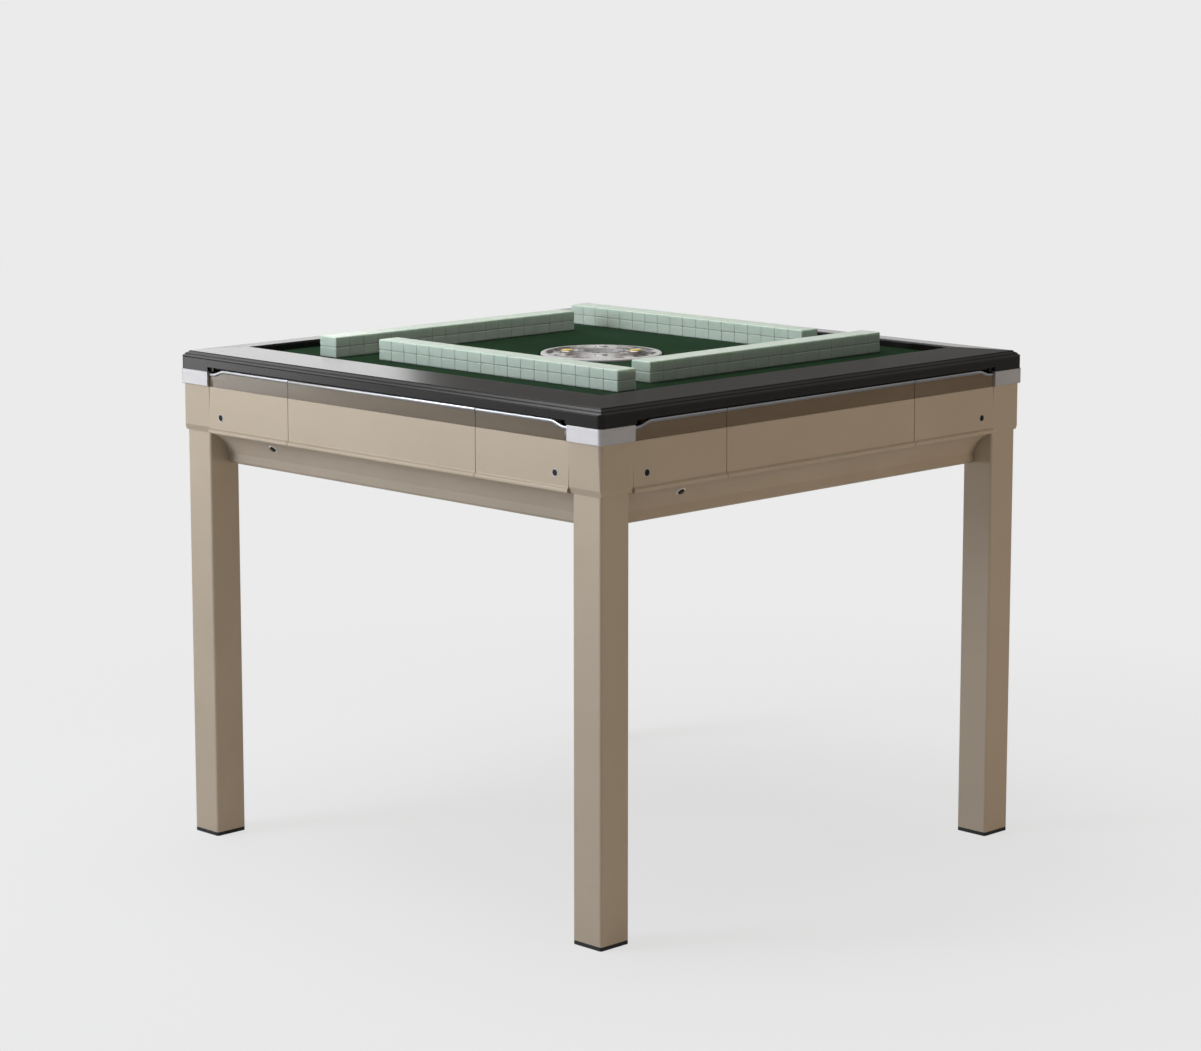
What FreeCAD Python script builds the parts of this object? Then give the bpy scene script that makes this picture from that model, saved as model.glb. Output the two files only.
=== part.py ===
import FreeCAD
import Part
import math
import os

from FreeCAD import Vector

# Sizes are in millimetres. The origin is on the floor under the middle of the table,
# +Z is up and the front player sits on the -Y side. Each side is the front side
# turned about Z by a quarter turn: front, right, back, left.

# Overall size.
TABLE_WIDTH = 960.0
FELT_HEIGHT = 791.0

# Clearances.
SEAM = 0.5
SEAT = 0.2
SLIDE = 0.4
RUNNING = 0.05

# How far a joined or cutting solid reaches past the face that it meets, and how far
# the large cutting solids reach past the table.
OVERLAP = 1.0
BEYOND = 50.0

# Frame round the playing surface.
RAIL_WIDTH = 80.0
RAIL_RISE = 12.0
RAIL_FALL = 6.0
RAIL_STEP_WIDTH = 10.0
RAIL_STEP_DROP = 8.5
RAIL_STEP_LIP = 1.5
RAIL_ROUND = 3.0
EDGE_ROUND = 1.0
RAIL_SKIRT = 4.5
RAIL_SKIRT_DROP = 15.0
CORNER_SPAN = 69.0
CORNER_ROUND = 8.0
CORNER_SKIRT_DROP = 22.5
TONGUE_RISE = 11.0

# Playing surface.
FELT_THICK = 2.0
BOARD_THICK = 16.0
BOARD_INSET = 8.0

# Legs and their pads.
LEG_WIDTH = 58.0
LEG_WALL = 2.0
LEG_INSET = 7.0
LEG_ROUND = 4.0
PAD_HEIGHT = 6.0
PAD_PLUG = 18.0

# Apron round the case, measured down from the felt.
APRON_DROP = 18.5
APRON_HEIGHT = 103.5
APRON_SETBACK = 3.0
APRON_WALL = 5.0
APRON_FLANGE = 18.0
APRON_FLANGE_THICK = 3.0
EDGE_STRIP = 4.5
BAND_HEIGHT = 23.5
BAND_DEPTH = 2.5
BAND_SETBACK = 0.5
BAND_END_MARGIN = 9.0
NOTCH_LENGTH = 28.0
NOTCH_DROP = 7.0
LIP_HEIGHT = 7.0
LIP_PROUD = 3.0
SCREW_INSET = 28.0
SCREW_RISE = 27.0

# Corner posts and the trims above them.
POST_PROUD = 0.8
POST_TAPER = 1.4
POST_CHAMFER = 9.0
POST_ROUND = 6.0
TRIM_PROUD = 1.0

# Tray under the case.
TRAY_DEPTH = 53.0
TRAY_WALL = 3.0
TRAY_INSET = 37.0
TRAY_STRAIGHT = 17.0
TRAY_CHAMFER = 4.0
FLARE_BULGE_OUT = 11.5
FLARE_BULGE_RISE = 36.5
FLARE_PROUD = 1.0
FLARE_EDGE = 4.0

# Steel chassis.
RING_WIDTH = 22.0
RING_HEIGHT = 24.0
RING_WALL = 2.0
RING_LIFT = 7.0
TAB_WIDTH = 30.0
TAB_THICK = 3.0
TAB_RISE = 10.0
TRAY_TAB_REACH = 26.0
PLATE_THICK = 3.0
CORNER_PLATE_WIDTH = 26.0
CORNER_PLATE_THICK = 5.0
CORNER_PLATE_INSET = 9.0

# Bolts and screws.
BOLT_RADIUS = 4.0
BOLT_HEAD_RADIUS = 6.8
BOLT_HEAD_HEIGHT = 5.0
BOLT_BITE = 12.0
BOLT_LOW_GAP = 16.0
BOLT_HIGH_GAP = 43.0
SCREW_RADIUS = 2.0
SCREW_HEAD_RADIUS = 4.8
SCREW_HEAD_DEPTH = 3.5
SCREW_SINK = 0.6
SCREW_BITE = 3.0
TRAY_BOLT_RADIUS = 3.0
TRAY_BOLT_LENGTH = 33.0
TRAY_BOLT_HEAD_RADIUS = 5.0
TRAY_BOLT_HEAD_HEIGHT = 2.5
TRAY_BOLT_PROUD = 3.2
TRAY_BOLT_SHIFT = 285.0
TRAY_BOLT_RISE = 39.0

# Drawers.
DRAWER_WIDTH = 430.0
DRAWER_GAP = 1.2
DRAWER_BOX_INSET = 10.0
DRAWER_BOX_HEIGHT = 46.0
DRAWER_BOX_RISE = 15.0
DRAWER_WALL = 2.5
DRAWER_BACK_GAP = 12.0
RUNNER_THICK = 2.5
RUNNER_WIDTH = 26.0
RUNNER_INSET = 15.0
RUNNER_FRONT_GAP = 6.0
RUNNER_WEB_GAP = 4.0

# Tiles and their walls.
TILE_LENGTH = 39.5
TILE_WIDTH = 29.45
TILE_THICK = 16.4
TILE_ROUND = 1.6
TILE_GAP = 0.25
WALL_MARGIN = 98.0
WALL_END_MARGIN = 63.5

# Wall lifts.
LIFT_TRAVEL = 38.0
PLATFORM_THICK = 6.0
PLATFORM_MARGIN = 1.0
ROD_RADIUS = 5.0
BUSH_RADIUS = 8.0
BUSH_LENGTH = 60.0
ROD_INSET = 80.0
ROD_TOP_GAP = 4.0
CRANK_SHIFT = 90.0
CRANK_SWING = 30.0
CRANK_THICK = 5.0
CRANK_ARM_WIDTH = 11.0
CRANK_HUB_RADIUS = 9.0
CRANK_TIP_RADIUS = 6.5
CRANK_PIN_RADIUS = 4.0
CRANK_SHAFT_RADIUS = 4.0
CRANK_SLOT_PLAY = 0.6
CRANK_SLOT_END = 6.0
STEM_THICK = 4.0
STEM_DROP = 66.0
STEM_NEAR = 14.0
STEM_FAR = 22.0
STEM_TAIL = 14.0
LIFT_MOTOR_RADIUS = 18.0
LIFT_MOTOR_LENGTH = 60.0
MOTOR_FOOT_WIDTH = 24.0
MOTOR_FOOT_LENGTH = 30.0
MOTOR_FOOT_SETBACK = 6.0
SHAFT_ENTRY = 8.0

# Console in the middle.
CONSOLE_RADIUS = 98.0
CONSOLE_GAP = 3.0
CONSOLE_PROUD = 3.0
CONSOLE_CROWN = 2.5
CONSOLE_DEPTH = 11.0
CONSOLE_TAPER = 6.0
CONSOLE_FLOOR = 3.0
CONSOLE_SHOULDER = 69.0
CONSOLE_SHOULDER_DROP = 0.8
CONSOLE_TRAVEL = 60.0
WELL_RADIUS = 30.0
DOME_RISE = 5.0
DOME_WALL = 1.5
DOME_LEDGE = 5.0
DOME_SETBACK = 1.0
DICE_TRAY_GAP = 1.0
DICE_TRAY_THICK = 1.8
DIE_SIZE = 9.0
DIE_ROUND = 1.0
BUTTON_RADIUS = 9.0
BUTTON_INSET = 43.0
BUTTON_TURN = 45.0
BUTTON_PROUD = 1.9
BUTTON_TRAVEL = 1.5
BUTTON_FLOOR = 6.0
BUTTON_ROUND = 0.8
POST_RADIUS = 30.0
POST_WALL = 3.7
POST_FOOT_GAP = 12.0
POST_TOP_THICK = 4.0
GUIDE_WALL = 8.0
GUIDE_OVERLAP = 26.0
GUIDE_FLOOR = 3.0
LIFT_SCREW_RADIUS = 5.0
LIFT_NUT_RISE = 52.0
LIFT_NUT_THICK = 8.0
LIFT_NUT_GAP = 6.0
LIFT_SCREW_END = 2.0

# Shuffling drum and its drive.
DRUM_MARGIN = 37.5
DRUM_WALL = 4.0
DRUM_HUB_WALL = 14.0
DRUM_HUB_RISE = 28.0
DRUM_FLANGE_THICK = 6.0
DRUM_RIM = 24.0
DRUM_FLOOR_RISE = 8.0
DRUM_FLOOR_FALL = 4.0
DRUM_COLLAR = 8.0
DRUM_COLLAR_RISE = 6.0
GEAR_MODULE = 3.0
DRUM_TEETH = 64
PINION_TEETH = 16
GEAR_WIDTH = 10.0
GEAR_RING = 14.0
GEAR_WALL = 8.0
GEAR_LIFT = 2.0
GEAR_PRESSURE = 20.0
MESH_TURN = 135.0
GEAR_BACKLASH = 0.5
PINION_SHAFT_RADIUS = 5.0
DRUM_MOTOR_RADIUS = 28.0
DRUM_MOTOR_GAP = 5.0

# Conveyors from the drum to the lifts.
BELT_WIDTH = 40.0
BELT_THICK = 1.4
ROLLER_RADIUS = 8.0
JOURNAL_RADIUS = 3.0
CONVEYOR_WALL = 2.0
CONVEYOR_START = 94.0
CONVEYOR_END_GAP = 22.5
CONVEYOR_OVERHANG = 14.0
CONVEYOR_LEG = 14.0
CONVEYOR_DROP = 10.0
BELT_SIDE_GAP = 2.0
LANE_GAP = 6.275

# Control board.
CIRCUIT_LENGTH = 95.0
CIRCUIT_WIDTH = 60.0
CIRCUIT_THICK = 1.6
CIRCUIT_RISE = 10.0
CIRCUIT_GAP = 8.0
SPACER_RADIUS = 3.0
SPACER_INSET = 6.0
TRANSFORMER_SIZE = 34.0
TRANSFORMER_HEIGHT = 30.0
CHIP_SIZE = 22.0
CHIP_HEIGHT = 4.0

# Power inlet with its switch, placed from the back left corner of the tray.
INLET_CORNER_X = 126.0
INLET_CORNER_Y = 86.0
INLET_LENGTH = 56.0
INLET_WIDTH = 27.0
INLET_DEPTH = 24.0
INLET_FLANGE = 4.0
INLET_FLANGE_THICK = 2.5
SOCKET_LENGTH = 25.0
SOCKET_WIDTH = 18.0
SOCKET_DEPTH = 16.0
SOCKET_ROUND = 2.0
SOCKET_INSET = 2.5
BLADE_SPACING = 7.0
BLADE_STAGGER = 2.5
BLADE_THICK = 2.0
BLADE_WIDTH = 4.0
BLADE_RECESS = 5.5
ROCKER_LENGTH = 20.6
ROCKER_WIDTH = 12.2
ROCKER_TILT = 7.0
ROCKER_INSET = 4.0
ROCKER_END_GAP = 1.0
ROCKER_PIVOT_RISE = 1.0
ROCKER_POCKET = 8.0
ROCKER_TIP_DROP = 6.0
ROCKER_DIP_DROP = 4.0
ROCKER_PIN_RADIUS = 1.2
ROCKER_PIN_REACH = 2.0
ROCKER_PIN_GAP = 0.3

# Values that follow from the sizes above.
half = TABLE_WIDTH / 2
frame_inner = half - RAIL_WIDTH
corner_seam = half - CORNER_SPAN
board_top = FELT_HEIGHT - FELT_THICK
board_bottom = board_top - BOARD_THICK
board_half = half - BOARD_INSET
leg_outer = half - LEG_INSET
leg_inner = leg_outer - LEG_WIDTH
leg_centre = leg_outer - LEG_WIDTH / 2
apron_face = half - APRON_SETBACK
apron_top = FELT_HEIGHT - APRON_DROP
apron_bottom = apron_top - APRON_HEIGHT
band_top = apron_top - EDGE_STRIP
band_bottom = band_top - BAND_HEIGHT
corner_skirt_bottom = FELT_HEIGHT - CORNER_SKIRT_DROP
tray_top = apron_bottom - SLIDE
tray_bottom = tray_top - TRAY_DEPTH
tray_outer = leg_outer - TRAY_INSET
tray_notch = leg_inner - SEAM
ring_outer = leg_inner - SEAM
ring_inner = ring_outer - RING_WIDTH
ring_top = apron_bottom + RING_LIFT
ring_bottom = ring_top - RING_HEIGHT
plate_top = ring_bottom
drawer_half = DRAWER_WIDTH / 2
tile_pitch = TILE_WIDTH + TILE_GAP
wall_reach = frame_inner - WALL_MARGIN
wall_inner = wall_reach - TILE_LENGTH
wall_middle = wall_reach - TILE_LENGTH / 2
lane_width = BELT_WIDTH + 2 * (BELT_SIDE_GAP + CONVEYOR_WALL + LANE_GAP + PLATFORM_MARGIN)
wall_end = frame_inner - WALL_END_MARGIN
wall_space = wall_end + wall_inner - lane_width
tiles_in_row = int((wall_space + TILE_GAP) / tile_pitch + 0.01)
wall_length = tiles_in_row * tile_pitch - TILE_GAP
wall_start = wall_end - wall_length
wall_centre = (wall_start + wall_end) / 2
platform_bottom = FELT_HEIGHT - PLATFORM_THICK
drawer_back = wall_reach + PLATFORM_MARGIN + DRAWER_BACK_GAP
drum_radius = wall_inner - DRUM_MARGIN
inlet_x = INLET_CORNER_X - tray_outer
inlet_y = tray_outer - INLET_CORNER_Y

SIDES = ("front", "right", "back", "left")


def box(x0, x1, y0, y1, z0, z1):
    return Part.makeBox(x1 - x0, y1 - y0, z1 - z0, Vector(x0, y0, z0))


def rod_z(radius, z0, z1, x=0.0, y=0.0):
    return Part.makeCylinder(radius, z1 - z0, Vector(x, y, z0))


def rod_y(radius, y0, y1, x, z):
    return Part.makeCylinder(radius, y1 - y0, Vector(x, y0, z), Vector(0, 1, 0))


def rounded_box(x0, x1, y0, y1, z0, z1, radius):
    plain = box(x0, x1, y0, y1, z0, z1)
    upright = [e for e in plain.Edges if abs(e.tangentAt(e.FirstParameter).z) > 0.9]
    return plain.makeFillet(radius, upright)


def turned(shape, quarter):
    copy = shape.copy()
    copy.rotate(Vector(0, 0, 0), Vector(0, 0, 1), 90.0 * quarter)
    return copy


def all_round(shape):
    return [turned(shape, quarter) for quarter in range(4)]


def face_of(points):
    closed = points + [points[0]]
    return Part.Face(Part.makePolygon(closed))


def along_x(profile, x0, x1):
    # profile holds (distance out from the middle, height, radius) for each long edge
    # on the front side, with radius 0 where the edge stays sharp
    points = [Vector(x0, -out, z) for out, z, radius in profile]
    bar = face_of(points).extrude(Vector(x1 - x0, 0, 0))
    for out, z, radius in profile:
        if radius > 0:
            line = [e for e in bar.Edges if lies_at(e, -out, z)]
            bar = bar.makeFillet(radius, line)
    return bar


def lies_at(edge, y, z):
    near = [abs(v.Y - y) < 0.001 and abs(v.Z - z) < 0.001 for v in edge.Vertexes]
    return len(near) == 2 and all(near)


def along_y(profile, y0, y1):
    # profile holds (x, height) pairs
    points = [Vector(x, y0, z) for x, z in profile]
    return face_of(points).extrude(Vector(0, y1 - y0, 0))


def spun(profile):
    # profile holds (radius, height) pairs
    points = [Vector(radius, 0, z) for radius, z in profile]
    return face_of(points).revolve(Vector(0, 0, 0), Vector(0, 0, 1), 360)


def join(shapes):
    return shapes[0].fuse(shapes[1:]).removeSplitter()


def export(node, shapes):
    if len(shapes) == 1:
        shapes[0].exportStep("parts/" + node + ".step")
    else:
        Part.makeCompound(shapes).exportStep("parts/" + node + ".step")
    print(node, len(shapes))


os.makedirs("parts", exist_ok=True)

# The part of the table that belongs to the front side, cut on the diagonals.
reach = half + BEYOND
sky = FELT_HEIGHT + 2 * BEYOND
front_wedge = face_of([Vector(0, 0, 0), Vector(-reach, -reach, 0), Vector(reach, -reach, 0)])
front_wedge = front_wedge.extrude(Vector(0, 0, sky))
right_wedge = turned(front_wedge, 1)


def corner_piece(profile, outer, radius):
    on_front = along_x(profile, corner_seam, outer).common(front_wedge)
    on_right = turned(along_x(profile, -outer, -corner_seam), 1).common(right_wedge)
    limit = rounded_box(-outer, outer, -outer, outer, 0, sky, radius)
    return on_front.fuse(on_right).removeSplitter().common(limit)


# Frame rails and corner blocks share a section: the top slopes down outwards to a stepped
# shoulder over a skirt, which is deeper on the blocks.
crest = FELT_HEIGHT + RAIL_RISE
shoulder = crest - RAIL_FALL
skirt_inner = half - RAIL_SKIRT
rail_bottom = FELT_HEIGHT - RAIL_SKIRT_DROP
step_start = half - RAIL_STEP_WIDTH
step_middle = half - RAIL_STEP_WIDTH / 2


def frame_profile(bottom):
    return [
        (frame_inner, board_top, 0.0),
        (frame_inner, crest, RAIL_ROUND),
        (step_start, shoulder, EDGE_ROUND),
        (step_start, shoulder - RAIL_STEP_LIP, 0.0),
        (step_middle, shoulder - RAIL_STEP_DROP / 2, EDGE_ROUND),
        (step_middle, shoulder - RAIL_STEP_DROP / 2 - RAIL_STEP_LIP, 0.0),
        (half, shoulder - RAIL_STEP_DROP, 2 * EDGE_ROUND),
        (half, bottom, 0.0),
        (skirt_inner, bottom, 0.0),
        (skirt_inner, board_top, 0.0),
    ]


rail = along_x(frame_profile(rail_bottom), -half, half).common(front_wedge)
rail_end = corner_seam - SEAT
right_end = box(rail_end, reach, -reach, -rail_end, 0, sky)
left_end = box(-reach, -rail_end, -reach, -rail_end, 0, sky)
rail = rail.cut(right_end).cut(left_end)
export("frame_rails", all_round(rail))

# A tongue at each end of a block closes the gap over the low end of the apron.
band_end = corner_seam - BAND_END_MARGIN
tongue_low = corner_skirt_bottom + SEAT
tongue_high = tongue_low + TONGUE_RISE
tongue_root = corner_seam + 2 * OVERLAP
tongue = box(band_end, tongue_root, -skirt_inner + SEAT, -board_half - SEAT, tongue_low, tongue_high)
tongue = tongue.fuse(box(corner_seam, tongue_root, -skirt_inner - OVERLAP, -board_half - SEAT,
                         tongue_low, tongue_high))
other_tongue = turned(tongue.mirror(Vector(0, 0, 0), Vector(1, 0, 0)), 1)
corner_block = corner_piece(frame_profile(corner_skirt_bottom), half, CORNER_ROUND)
export("frame_corners", all_round(join([corner_block, tongue, other_tongue])))

# Silver trims and corner posts, angle shaped over the two outer faces of each leg.
cover_inner = leg_outer + SEAT
trim_outer = half + TRIM_PROUD
trim_profile = [
    (cover_inner, band_bottom, 0.0),
    (trim_outer, band_bottom, EDGE_ROUND),
    (trim_outer, corner_skirt_bottom, EDGE_ROUND),
    (cover_inner, corner_skirt_bottom, 0.0),
]
export("corner_trims", all_round(corner_piece(trim_profile, trim_outer, CORNER_ROUND)))
post_face = apron_face + POST_PROUD
post_profile = [
    (cover_inner, apron_bottom, 0.0),
    (cover_inner + EDGE_ROUND, apron_bottom, 0.0),
    (post_face - POST_TAPER, apron_bottom + POST_CHAMFER, POST_ROUND),
    (post_face, band_bottom, 0.0),
    (cover_inner, band_bottom, 0.0),
]
export("corner_posts", all_round(corner_piece(post_profile, post_face, CORNER_ROUND)))

# Playing board and felt, with a slot for each wall and a hole for the console.
slot_margin = PLATFORM_MARGIN + SLIDE
slot = box(wall_start - slot_margin, wall_end + slot_margin,
           -wall_reach - slot_margin, -wall_inner + slot_margin, 0, sky)
hole = rod_z(CONSOLE_RADIUS + CONSOLE_GAP, 0, sky)
openings = all_round(slot) + [hole]
board = box(-board_half, board_half, -board_half, board_half, board_bottom, board_top)
export("tabletop_board", [board.cut(openings)])
felt_half = frame_inner - SEAT
felt = box(-felt_half, felt_half, -felt_half, felt_half, board_top, FELT_HEIGHT)
export("playing_felt", [felt.cut(openings)])

# Legs are square tubes closed by black pads. A diagonal bolt holds each leg to the chassis.
bolt_heights = (ring_top + BOLT_LOW_GAP, board_bottom - BOLT_HIGH_GAP)
bolt_way = Vector(1, -1, 0)
bolt_way.normalize()
corner_plate_middle = ring_inner + CORNER_PLATE_INSET
plate_face = Vector(corner_plate_middle, -corner_plate_middle, 0) - bolt_way * (CORNER_PLATE_THICK / 2)
bolt_reach = (leg_inner - corner_plate_middle) * math.sqrt(2) + BOLT_BITE


def diagonal_rod(radius, start, length, height):
    foot = plate_face + bolt_way * start + Vector(0, 0, height)
    return Part.makeCylinder(radius, length, foot, bolt_way)


hole_start = -2 * BOLT_HEAD_HEIGHT
hole_length = bolt_reach - 2 * hole_start
bolt_holes = [diagonal_rod(BOLT_RADIUS + SEAT, hole_start, hole_length, z) for z in bolt_heights]
leg_body = rounded_box(leg_inner, leg_outer, -leg_outer, -leg_inner, PAD_HEIGHT, board_bottom, LEG_ROUND)
leg_bore = rounded_box(leg_inner + LEG_WALL, leg_outer - LEG_WALL, -leg_outer + LEG_WALL,
                       -leg_inner - LEG_WALL, 0, sky, LEG_ROUND - LEG_WALL)
leg = leg_body.cut([leg_bore] + bolt_holes)
export("legs", all_round(leg))
pad_base = rounded_box(leg_inner, leg_outer, -leg_outer, -leg_inner, 0, PAD_HEIGHT, LEG_ROUND)
plug_inset = LEG_WALL + SEAT
pad_plug = rounded_box(leg_inner + plug_inset, leg_outer - plug_inset,
                       -leg_outer + plug_inset, -leg_inner - plug_inset,
                       PAD_HEIGHT - OVERLAP, PAD_HEIGHT + PAD_PLUG, LEG_ROUND - LEG_WALL)
export("leg_pads", all_round(join([pad_base, pad_plug])))
leg_bolts = []
for height in bolt_heights:
    shank = diagonal_rod(BOLT_RADIUS, -OVERLAP, bolt_reach, height)
    head = diagonal_rod(BOLT_HEAD_RADIUS, -BOLT_HEAD_HEIGHT, BOLT_HEAD_HEIGHT, height)
    leg_bolts.extend(all_round(join([shank, head])))
export("leg_bolts", leg_bolts)

# Chassis: two channel rings, corner plates between them and tabs that hold the case.
lower_ring = box(-ring_outer, ring_outer, -ring_outer, ring_outer, ring_bottom, ring_top)
lower_ring = lower_ring.cut(box(-ring_inner, ring_inner, -ring_inner, ring_inner, ring_bottom, ring_top))
groove_out = ring_outer - RING_WALL
groove_in = ring_inner + RING_WALL
lower_groove = box(-groove_out, groove_out, -groove_out, groove_out, ring_bottom, ring_top - RING_WALL)
lower_groove = lower_groove.cut(box(-groove_in, groove_in, -groove_in, groove_in, ring_bottom, ring_top))
lower_ring = lower_ring.cut(lower_groove)
upper_ring = lower_ring.copy()
upper_ring.rotate(Vector(0, 0, (ring_bottom + board_bottom) / 2), Vector(1, 0, 0), 180)
corner_plate = box(-CORNER_PLATE_THICK / 2, CORNER_PLATE_THICK / 2,
                   -CORNER_PLATE_WIDTH / 2, CORNER_PLATE_WIDTH / 2,
                   ring_top - OVERLAP, board_bottom - RING_HEIGHT + OVERLAP)
corner_plate.rotate(Vector(0, 0, 0), Vector(0, 0, 1), -45)
corner_plate.translate(Vector(corner_plate_middle, -corner_plate_middle, 0))
corner_plate = corner_plate.cut(bolt_holes)
screw_x = corner_seam - SCREW_INSET
screw_z = apron_bottom + SCREW_RISE
apron_back = apron_face - APRON_WALL
tab_face = apron_back - SEAT
tab_low = ring_top - TAB_THICK
frame_parts = [lower_ring, upper_ring] + all_round(corner_plate)
for x in (-screw_x, screw_x):
    shelf = box(x - TAB_WIDTH / 2, x + TAB_WIDTH / 2, -tab_face, -ring_outer + OVERLAP, tab_low, ring_top)
    riser = box(x - TAB_WIDTH / 2, x + TAB_WIDTH / 2, -tab_face, -tab_face + TAB_THICK,
                tab_low, screw_z + TAB_RISE)
    riser = riser.cut(rod_y(SCREW_RADIUS + SEAT, -half, -ring_outer, x, screw_z))
    frame_parts.extend(all_round(shelf))
    frame_parts.extend(all_round(riser))
tray_tab = box(-TRAY_BOLT_SHIFT - TAB_WIDTH / 2, -TRAY_BOLT_SHIFT + TAB_WIDTH / 2,
               -tray_outer - TRAY_TAB_REACH, -ring_outer + OVERLAP, tab_low, ring_top)
frame_parts.extend(all_round(tray_tab))
chassis = join(frame_parts)

# Tray under the case, with a flared side between the legs.
flare_start = (tray_outer, tray_bottom + TRAY_STRAIGHT)
flare_middle = (tray_outer + FLARE_BULGE_OUT, tray_bottom + FLARE_BULGE_RISE)
flare_end = (leg_outer + FLARE_PROUD, tray_top)


def front_point(pair, x):
    return Vector(x, -pair[0], pair[1])


def tray_side():
    x = -tray_notch
    inner_start = (flare_start[0] - TRAY_WALL, flare_start[1] + OVERLAP)
    inner_middle = (flare_middle[0] - 0.8 * TRAY_WALL, flare_middle[1] + 0.8 * TRAY_WALL)
    inner_end = (flare_end[0] - FLARE_EDGE, tray_top)
    low_out = (tray_outer - TRAY_CHAMFER, tray_bottom)
    side_low = (tray_outer, tray_bottom + TRAY_CHAMFER)
    floor_out = (tray_outer - TRAY_WALL, tray_bottom + TRAY_WALL + OVERLAP)
    floor_in = (tray_outer - 2 * TRAY_CHAMFER, tray_bottom + TRAY_WALL)
    low_in = (tray_outer - 2 * TRAY_CHAMFER, tray_bottom)
    outer_arc = Part.Arc(front_point(flare_start, x), front_point(flare_middle, x), front_point(flare_end, x))
    inner_arc = Part.Arc(front_point(inner_end, x), front_point(inner_middle, x), front_point(inner_start, x))
    corners = [low_in, low_out, side_low, flare_start]
    edges = [Part.makeLine(front_point(a, x), front_point(b, x)) for a, b in zip(corners, corners[1:])]
    edges.append(outer_arc.toShape())
    edges.append(Part.makeLine(front_point(flare_end, x), front_point(inner_end, x)))
    edges.append(inner_arc.toShape())
    corners = [inner_start, floor_out, floor_in, low_in]
    edges.extend(Part.makeLine(front_point(a, x), front_point(b, x)) for a, b in zip(corners, corners[1:]))
    return Part.Face(Part.Wire(edges)).extrude(Vector(2 * tray_notch, 0, 0))


floor_half = tray_outer - 2 * TRAY_CHAMFER + OVERLAP
tray_floor = box(-floor_half, floor_half, -floor_half, floor_half, tray_bottom, tray_bottom + TRAY_WALL)
notch = box(tray_notch, reach, -reach, -tray_notch, 0, sky)
tray_floor = tray_floor.cut(all_round(notch))
tray = join([tray_floor] + all_round(tray_side()))
inlet_cut = box(inlet_x - INLET_LENGTH / 2 - SEAT, inlet_x + INLET_LENGTH / 2 + SEAT,
                inlet_y - INLET_WIDTH / 2 - SEAT, inlet_y + INLET_WIDTH / 2 + SEAT,
                tray_bottom - OVERLAP, tray_bottom + 2 * TRAY_WALL)
tray = tray.cut(inlet_cut)

# Screws: one at each end of every apron side, and one bolt per side through the tray flare.
flare_arc = Part.Arc(front_point(flare_start, 0), front_point(flare_middle, 0), front_point(flare_end, 0))
flare = flare_arc.toShape().Curve
spot_rise = tray_bottom + TRAY_BOLT_RISE - flare.Center.z
spot_in = math.sqrt(flare.Radius ** 2 - spot_rise ** 2)
bolt_in = Vector(0, spot_in, spot_rise)
bolt_in.normalize()
flare_spot = flare.Center + bolt_in * flare.Radius - Vector(TRAY_BOLT_SHIFT, 0, 0)
bolt_start = flare_spot - bolt_in * TRAY_BOLT_PROUD
hole_foot = bolt_start - bolt_in * OVERLAP
tray_hole = Part.makeCylinder(TRAY_BOLT_RADIUS + SEAT, 2 * TRAY_BOLT_LENGTH, hole_foot, bolt_in)
tray = tray.cut(all_round(tray_hole))
export("under_tray", [tray])
chassis = chassis.cut(all_round(tray_hole))
export("chassis_frame", [chassis])
plate_half = ring_outer - OVERLAP
base_plate = box(-plate_half, plate_half, -plate_half, plate_half, plate_top - PLATE_THICK, plate_top)
export("base_plate", [base_plate])
head_seat = apron_face - SCREW_HEAD_DEPTH
screws = []
for x in (-screw_x, screw_x):
    head = rod_y(SCREW_HEAD_RADIUS, -apron_face + SCREW_SINK, -head_seat, x, screw_z)
    shank = rod_y(SCREW_RADIUS, -head_seat - SCREW_SINK, -tab_face + TAB_THICK + SCREW_BITE, x, screw_z)
    screws.extend(all_round(join([head, shank])))
bolt_head = Part.makeCylinder(TRAY_BOLT_HEAD_RADIUS, TRAY_BOLT_HEAD_HEIGHT, bolt_start, bolt_in)
bolt_shank = Part.makeCylinder(TRAY_BOLT_RADIUS, TRAY_BOLT_LENGTH, bolt_start + bolt_in * OVERLAP, bolt_in)
screws.extend(all_round(join([bolt_head, bolt_shank])))
export("case_screws", screws)

# Apron profile, shared by the fixed end panels and the drawer fronts.
lip_top = apron_bottom + LIP_HEIGHT
lip_out = apron_face + LIP_PROUD
band_seat = apron_face - BAND_DEPTH
lip_round = 2 * EDGE_ROUND
apron_profile = [
    (apron_face, apron_top, EDGE_ROUND),
    (apron_face, band_top, 0.0),
    (band_seat, band_top, 0.0),
    (band_seat, band_bottom, 0.0),
    (apron_face, band_bottom, EDGE_ROUND),
    (apron_face, lip_top + LIP_PROUD / 2, lip_round),
    (lip_out, lip_top - LIP_PROUD / 2, lip_round),
    (lip_out, apron_bottom, lip_round),
    (apron_back, apron_bottom, 0.0),
    (apron_back, apron_top - APRON_FLANGE_THICK, 0.0),
    (apron_face - APRON_FLANGE, apron_top - APRON_FLANGE_THICK, 0.0),
    (apron_face - APRON_FLANGE, apron_top, 0.0),
]
panel_end = corner_seam - SEAT
panel_start = drawer_half + DRAWER_GAP / 2
notch_start = band_end - NOTCH_LENGTH


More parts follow.
